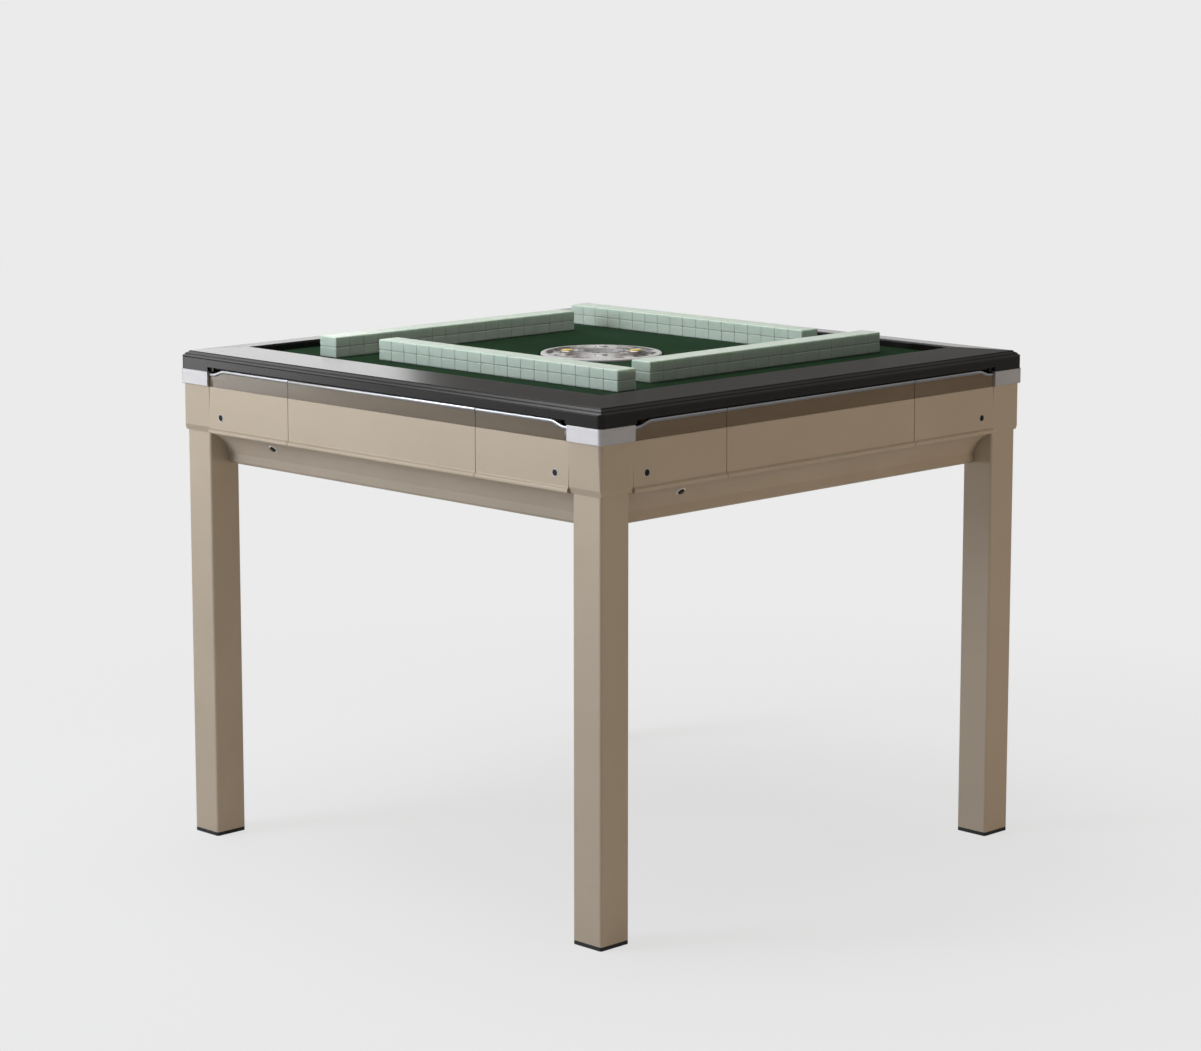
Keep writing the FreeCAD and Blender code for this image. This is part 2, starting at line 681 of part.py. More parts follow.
def notch_below(x0, z0):
    # what is cut off above an S curve that falls from (x0, z0) to the end of the band
    x1 = x0 + NOTCH_LENGTH
    z1 = z0 - NOTCH_DROP
    radius = (NOTCH_LENGTH ** 2 + NOTCH_DROP ** 2) / (4 * NOTCH_DROP)
    angle = math.asin(NOTCH_LENGTH / (2 * radius)) / 2
    step_x = radius * math.sin(angle)
    step_z = radius * (1 - math.cos(angle))
    start = Vector(x0, -reach, z0)
    middle = Vector((x0 + x1) / 2, -reach, (z0 + z1) / 2)
    end = Vector(x1, -reach, z1)
    upper = Part.Arc(start, start + Vector(step_x, 0, -step_z), middle)
    lower = Part.Arc(middle, end + Vector(-step_x, 0, step_z), end)
    far_low = Vector(reach, -reach, z1)
    far_high = Vector(reach, -reach, z0 + BEYOND)
    near_high = Vector(x0, -reach, z0 + BEYOND)
    edges = [upper.toShape(), lower.toShape()]
    corners = [end, far_low, far_high, near_high, start]
    edges.extend(Part.makeLine(a, b) for a, b in zip(corners, corners[1:]))
    return Part.Face(Part.Wire(edges)).extrude(Vector(0, half / 2, 0))


panel = along_x(apron_profile, panel_start, panel_end)
panel = panel.cut(notch_below(notch_start, apron_top))
screw_hole = rod_y(SCREW_RADIUS + SEAT, -reach, -half / 2, screw_x, screw_z)
screw_seat = rod_y(SCREW_HEAD_RADIUS + SEAT, -reach, -head_seat, screw_x, screw_z)
panel = panel.cut(screw_hole).cut(screw_seat)
other_panel = panel.mirror(Vector(0, 0, 0), Vector(1, 0, 0))
export("apron_panels", all_round(panel) + all_round(other_panel))
band_face = apron_face - BAND_SETBACK
band = box(panel_start, band_end, -band_face, -band_seat, band_bottom + SEAT, band_top - SEAT)
band = band.cut(notch_below(notch_start - EDGE_STRIP / 3, band_top))
other_band = band.mirror(Vector(0, 0, 0), Vector(1, 0, 0))
export("apron_bands", all_round(band) + all_round(other_band))

# Drawers: an apron front with a tray behind it, running on rails that stand on the base plate.
front_half = drawer_half - DRAWER_GAP / 2
box_half = drawer_half - DRAWER_BOX_INSET
box_low = apron_bottom + DRAWER_BOX_RISE
box_high = box_low + DRAWER_BOX_HEIGHT
drawer_front = along_x(apron_profile, -front_half, front_half)
drawer_body = box(-box_half, box_half, -apron_back - OVERLAP, -drawer_back, box_low, box_high)
drawer_room = box(-box_half + DRAWER_WALL, box_half - DRAWER_WALL, -apron_back, -drawer_back - DRAWER_WALL,
                  box_low + DRAWER_WALL, box_high)
drawer = join([drawer_front, drawer_body.cut(drawer_room)])
drawer_strip = box(-front_half, front_half, -band_face, -band_seat, band_bottom + SEAT, band_top - SEAT)
for quarter, side in enumerate(SIDES):
    export("chip_drawer_" + side, [turned(drawer, quarter)])
    export("drawer_band_" + side, [turned(drawer_strip, quarter)])
runner_top = box_low - SLIDE
runners = []
for x in (-box_half + RUNNER_INSET, box_half - RUNNER_INSET):
    flange = box(x - RUNNER_WIDTH / 2, x + RUNNER_WIDTH / 2, -apron_back + RUNNER_FRONT_GAP,
                 -drawer_back - RUNNER_INSET, runner_top - RUNNER_THICK, runner_top)
    web = box(x - RUNNER_THICK / 2, x + RUNNER_THICK / 2, -ring_inner + RUNNER_WEB_GAP,
              -drawer_back - RUNNER_INSET, plate_top, runner_top - RUNNER_THICK / 2)
    runners.extend(all_round(join([flange, web])))
export("drawer_runners", runners)

# Tile walls: two layers of rounded tiles.
tile = box(0, TILE_WIDTH, -wall_reach, -wall_inner, FELT_HEIGHT, FELT_HEIGHT + TILE_THICK)
tile = tile.makeFillet(TILE_ROUND, tile.Edges)
tiles = []
for layer in range(2):
    for place in range(tiles_in_row):
        copy = tile.copy()
        copy.translate(Vector(wall_start + place * tile_pitch, 0, layer * TILE_THICK))
        tiles.append(copy)
for quarter, side in enumerate(SIDES):
    export("tile_wall_" + side, [turned(one, quarter) for one in tiles])

# Lifts: a platform in each slot slides on two rods and is carried by a crank pin in a slot.
crank_length = LIFT_TRAVEL / (2 * math.sin(math.radians(CRANK_SWING)))
slot_z = platform_bottom - STEM_DROP
pivot_z = slot_z - LIFT_TRAVEL / 2
pivot_x = wall_centre + CRANK_SHIFT
pin_x = pivot_x + crank_length * math.cos(math.radians(CRANK_SWING))
rod_xs = (wall_start + ROD_INSET, wall_end - ROD_INSET)
stem_front = -wall_middle - STEM_THICK / 2
stem_back = -wall_middle + STEM_THICK / 2
platform_top = box(wall_start - PLATFORM_MARGIN, wall_end + PLATFORM_MARGIN,
                   -wall_reach - PLATFORM_MARGIN, -wall_inner + PLATFORM_MARGIN, platform_bottom, FELT_HEIGHT)
stem = box(pivot_x + STEM_NEAR, pin_x + STEM_FAR, stem_front, stem_back,
           slot_z - STEM_TAIL, platform_bottom + OVERLAP)
slot_half = CRANK_PIN_RADIUS + CRANK_SLOT_PLAY
pin_slot = box(pin_x - CRANK_SLOT_END, pivot_x + crank_length + CRANK_SLOT_END,
               stem_front - OVERLAP, stem_back + OVERLAP, slot_z - slot_half, slot_z + slot_half)
pieces = [platform_top, stem.cut(pin_slot)]
bush_low = platform_bottom - BUSH_LENGTH
for x in rod_xs:
    pieces.append(rod_z(BUSH_RADIUS, bush_low, platform_bottom + OVERLAP, x, -wall_middle))
platform = join(pieces)
rod_top = platform_bottom - LIFT_TRAVEL - ROD_TOP_GAP
for x in rod_xs:
    platform = platform.cut(rod_z(ROD_RADIUS + RUNNING, 0, platform_bottom, x, -wall_middle))
rods = []
for x in rod_xs:
    rods.extend(all_round(rod_z(ROD_RADIUS, plate_top, rod_top, x, -wall_middle)))
export("lift_guide_rods", rods)
crank_front = stem_back + SLIDE
crank_back = crank_front + CRANK_THICK
motor_front = crank_back + SLIDE
arm_half = CRANK_ARM_WIDTH / 2
tip_x = pivot_x + crank_length
arm = box(pivot_x, tip_x, crank_front, crank_back, pivot_z - arm_half, pivot_z + arm_half)
hub = rod_y(CRANK_HUB_RADIUS, crank_front, crank_back, pivot_x, pivot_z)
tip = rod_y(CRANK_TIP_RADIUS, crank_front, crank_back, tip_x, pivot_z)
pin = rod_y(CRANK_PIN_RADIUS, stem_front - SLIDE, crank_back, tip_x, pivot_z)
shaft = rod_y(CRANK_SHAFT_RADIUS, crank_front, motor_front + SHAFT_ENTRY, pivot_x, pivot_z)
crank = join([arm, hub, tip, pin, shaft])
crank.rotate(Vector(pivot_x, 0, pivot_z), Vector(0, 1, 0), -CRANK_SWING)
motor = rod_y(LIFT_MOTOR_RADIUS, motor_front, motor_front + LIFT_MOTOR_LENGTH, pivot_x, pivot_z)
foot_front = motor_front + MOTOR_FOOT_SETBACK
motor_foot = box(pivot_x - MOTOR_FOOT_WIDTH / 2, pivot_x + MOTOR_FOOT_WIDTH / 2,
                 foot_front, foot_front + MOTOR_FOOT_LENGTH, plate_top, pivot_z - LIFT_MOTOR_RADIUS / 2)
motor = join([motor, motor_foot])
shaft_hole = rod_y(CRANK_SHAFT_RADIUS + RUNNING, motor_front - OVERLAP, motor_front + SHAFT_ENTRY + OVERLAP,
                   pivot_x, pivot_z)
motor = motor.cut(shaft_hole)
export("lift_motors", all_round(motor))
for quarter, side in enumerate(SIDES):
    export("lift_platform_" + side, [turned(platform, quarter)])
    export("lift_crank_" + side, [turned(crank, quarter)])

# Console: a low disc with a dice well, a clear dome and a button at each player's right hand.
rim_z = FELT_HEIGHT + CONSOLE_PROUD
crown_z = rim_z + CONSOLE_CROWN
console_bottom = FELT_HEIGHT - CONSOLE_DEPTH
well_floor = console_bottom + CONSOLE_FLOOR
dome_seat = WELL_RADIUS + DOME_LEDGE
console_profile = [
    (0, console_bottom),
    (CONSOLE_RADIUS - CONSOLE_TAPER, console_bottom),
    (CONSOLE_RADIUS, FELT_HEIGHT),
    (CONSOLE_RADIUS, rim_z),
    (CONSOLE_SHOULDER, crown_z - CONSOLE_SHOULDER_DROP),
    (dome_seat, crown_z),
    (WELL_RADIUS, crown_z),
    (WELL_RADIUS, well_floor),
    (0, well_floor),
]
console = spun(console_profile)
rim_edges = [e for e in console.Edges if all(abs(v.Z - rim_z) < 0.01 for v in e.Vertexes)]
console = console.makeFillet(2 * EDGE_ROUND, rim_edges)
button_reach = CONSOLE_RADIUS - BUTTON_INSET
button_x = button_reach * math.sin(math.radians(BUTTON_TURN))
button_y = -button_reach * math.cos(math.radians(BUTTON_TURN))
button_floor = console_bottom + BUTTON_FLOOR
button_low = button_floor + BUTTON_TRAVEL + SLIDE
button_top = crown_z + BUTTON_PROUD
button_well = rod_z(BUTTON_RADIUS + SLIDE, button_floor, sky, button_x, button_y)
console = console.cut(all_round(button_well))
export("console_body", [console])
button = rod_z(BUTTON_RADIUS, button_low, button_top, button_x, button_y)
top_edges = [e for e in button.Edges if len(e.Vertexes) == 1 and e.Vertexes[0].Z > button_top - 0.1]
button = button.makeFillet(BUTTON_ROUND, top_edges)
for quarter, side in enumerate(SIDES):
    export("dice_button_" + side, [turned(button, quarter)])
tray_low = well_floor + SLIDE
tray_high = tray_low + DICE_TRAY_THICK
export("dice_tray", [rod_z(WELL_RADIUS - DICE_TRAY_GAP, tray_low, tray_high)])
die = box(-DIE_SIZE / 2, DIE_SIZE / 2, -DIE_SIZE / 2, DIE_SIZE / 2, tray_high, tray_high + DIE_SIZE)
die = die.makeFillet(DIE_ROUND, die.Edges)
dice = []
for x, y, turn in ((-DIE_SIZE, -DIE_SIZE / 2, 20.0), (DIE_SIZE, DIE_SIZE / 2, 55.0)):
    one = die.copy()
    one.rotate(Vector(0, 0, 0), Vector(0, 0, 1), turn)
    one.translate(Vector(x, y, 0))
    dice.append(one)
export("dice", dice)


def cap(base_radius, base_z, rise):
    ball_radius = (base_radius ** 2 + rise ** 2) / (2 * rise)
    ball = Part.makeSphere(ball_radius, Vector(0, 0, base_z + rise - ball_radius))
    return ball.common(rod_z(base_radius + OVERLAP, base_z, base_z + rise + OVERLAP))


dome_radius = dome_seat - DOME_SETBACK
dome_hollow = cap(dome_radius - 1.5 * DOME_WALL, crown_z, DOME_RISE - DOME_WALL)
export("dice_dome", [cap(dome_radius, crown_z, DOME_RISE).cut(dome_hollow)])

# The console stands on a hollow post that slides in a guide tube round a lift screw.
post_bottom = plate_top + POST_FOOT_GAP
post_bore = POST_RADIUS - POST_WALL
nut_low = plate_top + LIFT_NUT_RISE
nut_high = nut_low + LIFT_NUT_THICK
post = rod_z(POST_RADIUS, post_bottom, console_bottom)
post = post.cut(rod_z(post_bore, post_bottom, nut_low))
post = post.cut(rod_z(post_bore, nut_high, console_bottom - POST_TOP_THICK))
post = post.cut(rod_z(LIFT_SCREW_RADIUS + SLIDE, nut_low - OVERLAP, nut_high + OVERLAP))
export("console_post", [post])
guide_outer = POST_RADIUS + GUIDE_WALL
guide_top = post_bottom + CONSOLE_TRAVEL + GUIDE_OVERLAP
hub_low = plate_top + DRUM_HUB_RISE
hub_outer = guide_outer + DRUM_HUB_WALL
flange_top = hub_low - SLIDE
guide = rod_z(guide_outer, plate_top, guide_top)
guide = guide.fuse(rod_z(hub_outer, flange_top - DRUM_FLANGE_THICK, flange_top))
guide_floor = plate_top + GUIDE_FLOOR
guide = guide.cut(rod_z(POST_RADIUS + RUNNING, guide_floor, sky))
screw_motor = rod_z(post_bore - POST_WALL, guide_floor - OVERLAP, nut_low - LIFT_NUT_GAP)
screw = rod_z(LIFT_SCREW_RADIUS, guide_floor - OVERLAP, nut_high + CONSOLE_TRAVEL + LIFT_SCREW_END)
export("console_guide", [join([guide, screw_motor, screw])])


# Drum with a gear under its floor, driven by a pinion.
def gear_face(teeth, phase, z):
    pitch_radius = GEAR_MODULE * teeth / 2
    base_radius = pitch_radius * math.cos(math.radians(GEAR_PRESSURE))
    tip_radius = pitch_radius + 0.9 * GEAR_MODULE
    root_radius = pitch_radius - 1.25 * GEAR_MODULE
    half_tooth = math.pi / (2 * teeth) - GEAR_BACKLASH / (2 * pitch_radius)

    def spread(radius):
        if radius <= base_radius:
            return 0.0
        angle = math.acos(base_radius / radius)
        return math.tan(angle) - angle

    def spot(radius, angle):
        return Vector(radius * math.cos(angle), radius * math.sin(angle), z)

    at_pitch = spread(pitch_radius)
    radii = (root_radius, max(base_radius, root_radius + 0.2), pitch_radius, tip_radius)
    points = []
    for tooth in range(teeth):
        middle = phase + 2 * math.pi * tooth / teeth
        for radius in radii:
            points.append(spot(radius, middle - half_tooth - at_pitch + spread(radius)))
        for radius in reversed(radii):
            points.append(spot(radius, middle + half_tooth + at_pitch - spread(radius)))
    return face_of(points)


gear_low = hub_low + GEAR_LIFT
gear_high = gear_low + GEAR_WIDTH
floor_z = gear_high + DRUM_FLOOR_RISE
floor_rim = floor_z - DRUM_FLOOR_FALL
collar_top = floor_z + DRUM_WALL + DRUM_COLLAR_RISE
gear_radius = GEAR_MODULE * DRUM_TEETH / 2
pinion_radius = GEAR_MODULE * PINION_TEETH / 2
gear_inner = gear_radius - GEAR_RING
drum_bore = guide_outer + RUNNING
rim_top = floor_z + DRUM_RIM
dish = spun([
    (drum_bore, hub_low),
    (hub_outer, hub_low),
    (hub_outer, floor_z),
    (gear_inner, floor_z),
    (gear_inner, gear_low),
    (gear_inner + GEAR_WALL, gear_low),
    (gear_inner + GEAR_WALL, floor_z),
    (drum_radius, floor_rim),
    (drum_radius, rim_top),
    (drum_radius - DRUM_WALL, rim_top),
    (drum_radius - DRUM_WALL, floor_rim + DRUM_WALL),
    (hub_outer, floor_z + DRUM_WALL),
    (guide_outer + DRUM_COLLAR, collar_top),
    (drum_bore, collar_top),
])
gear = gear_face(DRUM_TEETH, 0.0, gear_low).extrude(Vector(0, 0, GEAR_WIDTH))
gear = gear.cut(rod_z(gear_inner + GEAR_WALL / 2, gear_low - OVERLAP, gear_high + OVERLAP))
drum = join([dish, gear])
drum.rotate(Vector(0, 0, 0), Vector(0, 0, 1), MESH_TURN)
export("shuffle_drum", [drum])
centre_distance = gear_radius + pinion_radius
facing = math.pi + math.pi / PINION_TEETH
pinion = gear_face(PINION_TEETH, facing, gear_low - OVERLAP).extrude(Vector(0, 0, GEAR_WIDTH + 2 * OVERLAP))
motor_top = gear_low - DRUM_MOTOR_GAP
pinion = join([pinion, rod_z(PINION_SHAFT_RADIUS, motor_top - SHAFT_ENTRY, gear_low)])
pinion.translate(Vector(centre_distance, 0, 0))
pinion.rotate(Vector(0, 0, 0), Vector(0, 0, 1), MESH_TURN)
export("drum_pinion", [pinion])
drum_motor = rod_z(DRUM_MOTOR_RADIUS, plate_top, motor_top)
bore_low = motor_top - SHAFT_ENTRY - OVERLAP
drum_motor = drum_motor.cut(rod_z(PINION_SHAFT_RADIUS + RUNNING, bore_low, motor_top))
drum_motor.translate(Vector(centre_distance, 0, 0))
drum_motor.rotate(Vector(0, 0, 0), Vector(0, 0, 1), MESH_TURN)
export("drum_motor", [drum_motor])

# Conveyors: a belt round a driven roller and a fixed nose bar, between two side plates.
belt_top = FELT_HEIGHT - LIFT_TRAVEL
roller_z = belt_top - BELT_THICK - SEAT - ROLLER_RADIUS
belt_outer = ROLLER_RADIUS + SEAT + BELT_THICK
lane_front = -wall_inner + PLATFORM_MARGIN + LANE_GAP
belt_front = lane_front + CONVEYOR_WALL + BELT_SIDE_GAP
belt_back = belt_front + BELT_WIDTH
lane_back = belt_back + CONVEYOR_WALL + BELT_SIDE_GAP
nose_x = ring_inner - CONVEYOR_END_GAP
leg_xs = (CONVEYOR_START + 2 * CONVEYOR_LEG, drawer_back - 1.5 * CONVEYOR_LEG)


def loop(radius):
    ends = [rod_y(radius, belt_front, belt_back, x, roller_z) for x in (CONVEYOR_START, nose_x)]
    middle = box(CONVEYOR_START, nose_x, belt_front, belt_back, roller_z - radius, roller_z + radius)
    return join(ends + [middle])


belt = loop(belt_outer).cut(loop(ROLLER_RADIUS + SEAT))
export("conveyor_belts", all_round(belt))
roller = rod_y(ROLLER_RADIUS, belt_front, belt_back, CONVEYOR_START, roller_z)
roller = join([roller, rod_y(JOURNAL_RADIUS, lane_front, lane_back, CONVEYOR_START, roller_z)])
for quarter, side in enumerate(SIDES):
    export("conveyor_roller_" + side, [turned(roller, quarter)])
plates = []
journal_hole = rod_y(JOURNAL_RADIUS + RUNNING, lane_front - OVERLAP, lane_back + OVERLAP,
                     CONVEYOR_START, roller_z)
cheek_low = roller_z - CONVEYOR_DROP
leg_half = CONVEYOR_LEG / 2
for y in (lane_front, lane_back - CONVEYOR_WALL):
    cheek = box(CONVEYOR_START - CONVEYOR_OVERHANG, nose_x + CONVEYOR_OVERHANG, y, y + CONVEYOR_WALL,
                cheek_low, roller_z + ROLLER_RADIUS)
    plates.append(cheek.cut(journal_hole))
    for x in leg_xs:
        plates.append(box(x - leg_half, x + leg_half, y, y + CONVEYOR_WALL, plate_top, cheek_low + OVERLAP))
nose = rod_y(ROLLER_RADIUS, lane_front, lane_back, nose_x, roller_z)
export("conveyor_frames", all_round(join(plates + [nose])))

# Control board on four spacers in the front right corner of the case.
circuit_right = ring_inner - CIRCUIT_GAP
circuit_left = circuit_right - CIRCUIT_LENGTH
circuit_front = -ring_inner + CIRCUIT_GAP
circuit_back = circuit_front + CIRCUIT_WIDTH
circuit_z = plate_top + CIRCUIT_RISE
circuit_top = circuit_z + CIRCUIT_THICK
circuit_middle = (circuit_front + circuit_back) / 2
circuit = [box(circuit_left, circuit_right, circuit_front, circuit_back, circuit_z, circuit_top)]
for x in (circuit_left + SPACER_INSET, circuit_right - SPACER_INSET):
    for y in (circuit_front + SPACER_INSET, circuit_back - SPACER_INSET):
        circuit.append(rod_z(SPACER_RADIUS, plate_top, circuit_z + CIRCUIT_THICK / 2, x, y))
block_right = circuit_right - 2 * SPACER_INSET
circuit.append(box(block_right - TRANSFORMER_SIZE, block_right, circuit_middle - TRANSFORMER_SIZE / 2,
                   circuit_middle + TRANSFORMER_SIZE / 2, circuit_z, circuit_top + TRANSFORMER_HEIGHT))
chip_left = circuit_left + 2 * SPACER_INSET
circuit.append(box(chip_left, chip_left + CHIP_SIZE, circuit_middle - CHIP_SIZE / 2,
                   circuit_middle + CHIP_SIZE / 2, circuit_z, circuit_top + CHIP_HEIGHT))
export("control_board", [join(circuit)])

# Power inlet in the tray floor, with a rocker switch beside its socket.
inlet_x0 = inlet_x - INLET_LENGTH / 2
inlet_x1 = inlet_x + INLET_LENGTH / 2
inlet_y0 = inlet_y - INLET_WIDTH / 2
inlet_y1 = inlet_y + INLET_WIDTH / 2
inlet_low = tray_bottom - INLET_FLANGE_THICK
inlet = box(inlet_x0, inlet_x1, inlet_y0, inlet_y1, inlet_low, tray_bottom + INLET_DEPTH)
inlet_flange = box(inlet_x0 - INLET_FLANGE, inlet_x1 + INLET_FLANGE, inlet_y0 - INLET_FLANGE,
                   inlet_y1 + INLET_FLANGE, inlet_low, tray_bottom)
socket_x0 = inlet_x0 + SOCKET_INSET
socket_x1 = socket_x0 + SOCKET_LENGTH
socket_top = inlet_low + SOCKET_DEPTH
socket = rounded_box(socket_x0, socket_x1, inlet_y - SOCKET_WIDTH / 2, inlet_y + SOCKET_WIDTH / 2,
                     inlet_low, socket_top, SOCKET_ROUND)
rocker_x = inlet_x1 - ROCKER_LENGTH / 2 - ROCKER_INSET
rocker_z = tray_bottom + ROCKER_PIVOT_RISE
pocket_x = ROCKER_LENGTH / 2 + ROCKER_END_GAP
pocket_y = ROCKER_WIDTH / 2 + SLIDE
pocket = box(rocker_x - pocket_x, rocker_x + pocket_x, inlet_y - pocket_y, inlet_y + pocket_y,
             inlet_low, tray_bottom + ROCKER_POCKET)
pin_reach = pocket_y + ROCKER_PIN_REACH
pin_hole = rod_y(ROCKER_PIN_RADIUS + RUNNING, inlet_y - pin_reach, inlet_y + pin_reach, rocker_x, rocker_z)
inlet = join([inlet, inlet_flange]).cut([socket, pocket, pin_hole])
blades = []
socket_middle = (socket_x0 + socket_x1) / 2
for step, side in ((-1, -1), (0, 1), (1, -1)):
    x = socket_middle + step * BLADE_SPACING
    y = inlet_y + side * BLADE_STAGGER
    blades.append(box(x - BLADE_THICK / 2, x + BLADE_THICK / 2, y - BLADE_WIDTH / 2, y + BLADE_WIDTH / 2,
                      inlet_low + BLADE_RECESS, socket_top + OVERLAP))
export("power_inlet", [join([inlet] + blades)])
rocker_half = ROCKER_LENGTH / 2
rocker = along_y([
    (rocker_x - rocker_half, rocker_z - ROCKER_TIP_DROP),
    (rocker_x, rocker_z - ROCKER_DIP_DROP),
    (rocker_x + rocker_half, rocker_z - ROCKER_TIP_DROP),
    (rocker_x + rocker_half, rocker_z + ROCKER_PIVOT_RISE),
    (rocker_x + ROCKER_DIP_DROP, rocker_z + ROCKER_DIP_DROP),
    (rocker_x - ROCKER_DIP_DROP, rocker_z + ROCKER_DIP_DROP),
    (rocker_x - rocker_half, rocker_z + ROCKER_PIVOT_RISE),
], inlet_y - ROCKER_WIDTH / 2, inlet_y + ROCKER_WIDTH / 2)
pin_end = pin_reach - ROCKER_PIN_GAP
pins = rod_y(ROCKER_PIN_RADIUS, inlet_y - pin_end, inlet_y + pin_end, rocker_x, rocker_z)
rocker = join([rocker, pins])
rocker.rotate(Vector(rocker_x, inlet_y, rocker_z), Vector(0, 1, 0), ROCKER_TILT)
export("power_switch", [rocker])
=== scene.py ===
import math

import bmesh
import bpy
from mathutils import Matrix, Vector


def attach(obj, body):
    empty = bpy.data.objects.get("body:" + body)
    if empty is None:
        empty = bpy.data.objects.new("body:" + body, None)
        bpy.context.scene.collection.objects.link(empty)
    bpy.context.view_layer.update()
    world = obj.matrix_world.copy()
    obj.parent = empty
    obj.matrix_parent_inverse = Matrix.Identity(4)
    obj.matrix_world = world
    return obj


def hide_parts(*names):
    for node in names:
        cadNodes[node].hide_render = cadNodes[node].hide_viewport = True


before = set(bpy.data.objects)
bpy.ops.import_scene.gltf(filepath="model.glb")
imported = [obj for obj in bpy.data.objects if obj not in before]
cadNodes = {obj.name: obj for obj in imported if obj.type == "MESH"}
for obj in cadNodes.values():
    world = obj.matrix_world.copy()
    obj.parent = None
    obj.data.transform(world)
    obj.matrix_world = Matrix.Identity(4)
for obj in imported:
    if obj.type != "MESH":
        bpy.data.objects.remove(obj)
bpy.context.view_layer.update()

sides = ("front", "right", "back", "left")
mm = 0.001
print("frame loaded,", len(cadNodes), "nodes")


# finishes

def addNoise(tree, vector, scale, detail=3.0, roughness=0.5):
    noise = tree.nodes.new("ShaderNodeTexNoise")
    noise.inputs["Scale"].default_value = scale
    noise.inputs["Detail"].default_value = detail
    noise.inputs["Roughness"].default_value = roughness
    tree.links.new(vector, noise.inputs["Vector"])
    return noise.outputs["Fac"]


def addRamp(tree, factor, stops):
    ramp = tree.nodes.new("ShaderNodeValToRGB")
    ramp.color_ramp.elements[0].position = stops[0][0]
    ramp.color_ramp.elements[0].color = (*stops[0][1], 1.0)
    ramp.color_ramp.elements[1].position = stops[-1][0]
    ramp.color_ramp.elements[1].color = (*stops[-1][1], 1.0)
    for place, tone in stops[1:-1]:
        ramp.color_ramp.elements.new(place).color = (*tone, 1.0)
    tree.links.new(factor, ramp.inputs["Fac"])
    return ramp.outputs["Color"]


noiseSpan = (0.3, 0.7)  # most values of a noise texture lie in here
grainDepth = 0.0004  # for finishes that give no depth of their own


def addRange(tree, value, low, high, span=noiseSpan):
    spread = tree.nodes.new("ShaderNodeMapRange")
    spread.inputs["From Min"].default_value = span[0]
    spread.inputs["From Max"].default_value = span[1]
    spread.inputs["To Min"].default_value = low
    spread.inputs["To Max"].default_value = high
    tree.links.new(value, spread.inputs["Value"])
    return spread.outputs["Result"]


def addMath(tree, operation, *values):
    # a value is a number or another node's output
    step = tree.nodes.new("ShaderNodeMath")
    step.operation = operation
    for socket, value in zip(step.inputs, values):
        if isinstance(value, bpy.types.NodeSocket):
            tree.links.new(value, socket)
        else:
            socket.default_value = value
    return step.outputs["Value"]


def addBump(tree, shader, height, strength, depth):
    bump = tree.nodes.new("ShaderNodeBump")
    bump.inputs["Strength"].default_value = strength
    bump.inputs["Distance"].default_value = depth
    tree.links.new(height, bump.inputs["Height"])
    tree.links.new(bump.outputs["Normal"], shader.inputs["Normal"])


def objectVector(tree, stretch=(1.0, 1.0, 1.0)):
    coords = tree.nodes.new("ShaderNodeTexCoord")
    mapping = tree.nodes.new("ShaderNodeMapping")
    mapping.inputs["Scale"].default_value = stretch
    tree.links.new(coords.outputs["Object"], mapping.inputs["Vector"])
    return mapping.outputs["Vector"]


def newMaterial(name):
    material = bpy.data.materials.new(name)
    material.use_nodes = True
    tree = material.node_tree
    return material, tree, tree.nodes["Principled BSDF"]


def makeFinish(name, look):
    # two tones in broad patches, fine grain in the roughness and in the bump
    material, tree, shader = newMaterial(name)
    vector = objectVector(tree, look.get("stretch", (1.0, 1.0, 1.0)))
    patches = addNoise(tree, vector, look["patchScale"], detail=4.0, roughness=0.55)
    tone = addRamp(tree, patches, ((noiseSpan[0], look["dark"]), (noiseSpan[1], look["light"])))
    tree.links.new(tone, shader.inputs["Base Color"])
    grain = addNoise(tree, vector, look["grainScale"], detail=2.0)
    tree.links.new(addRange(tree, grain, *look["rough"]), shader.inputs["Roughness"])
    addBump(tree, shader, grain, look["bump"], look.get("depth", grainDepth))
    for socket, value in look.get("sockets", {}).items():
        shader.inputs[socket].default_value = value
    return material


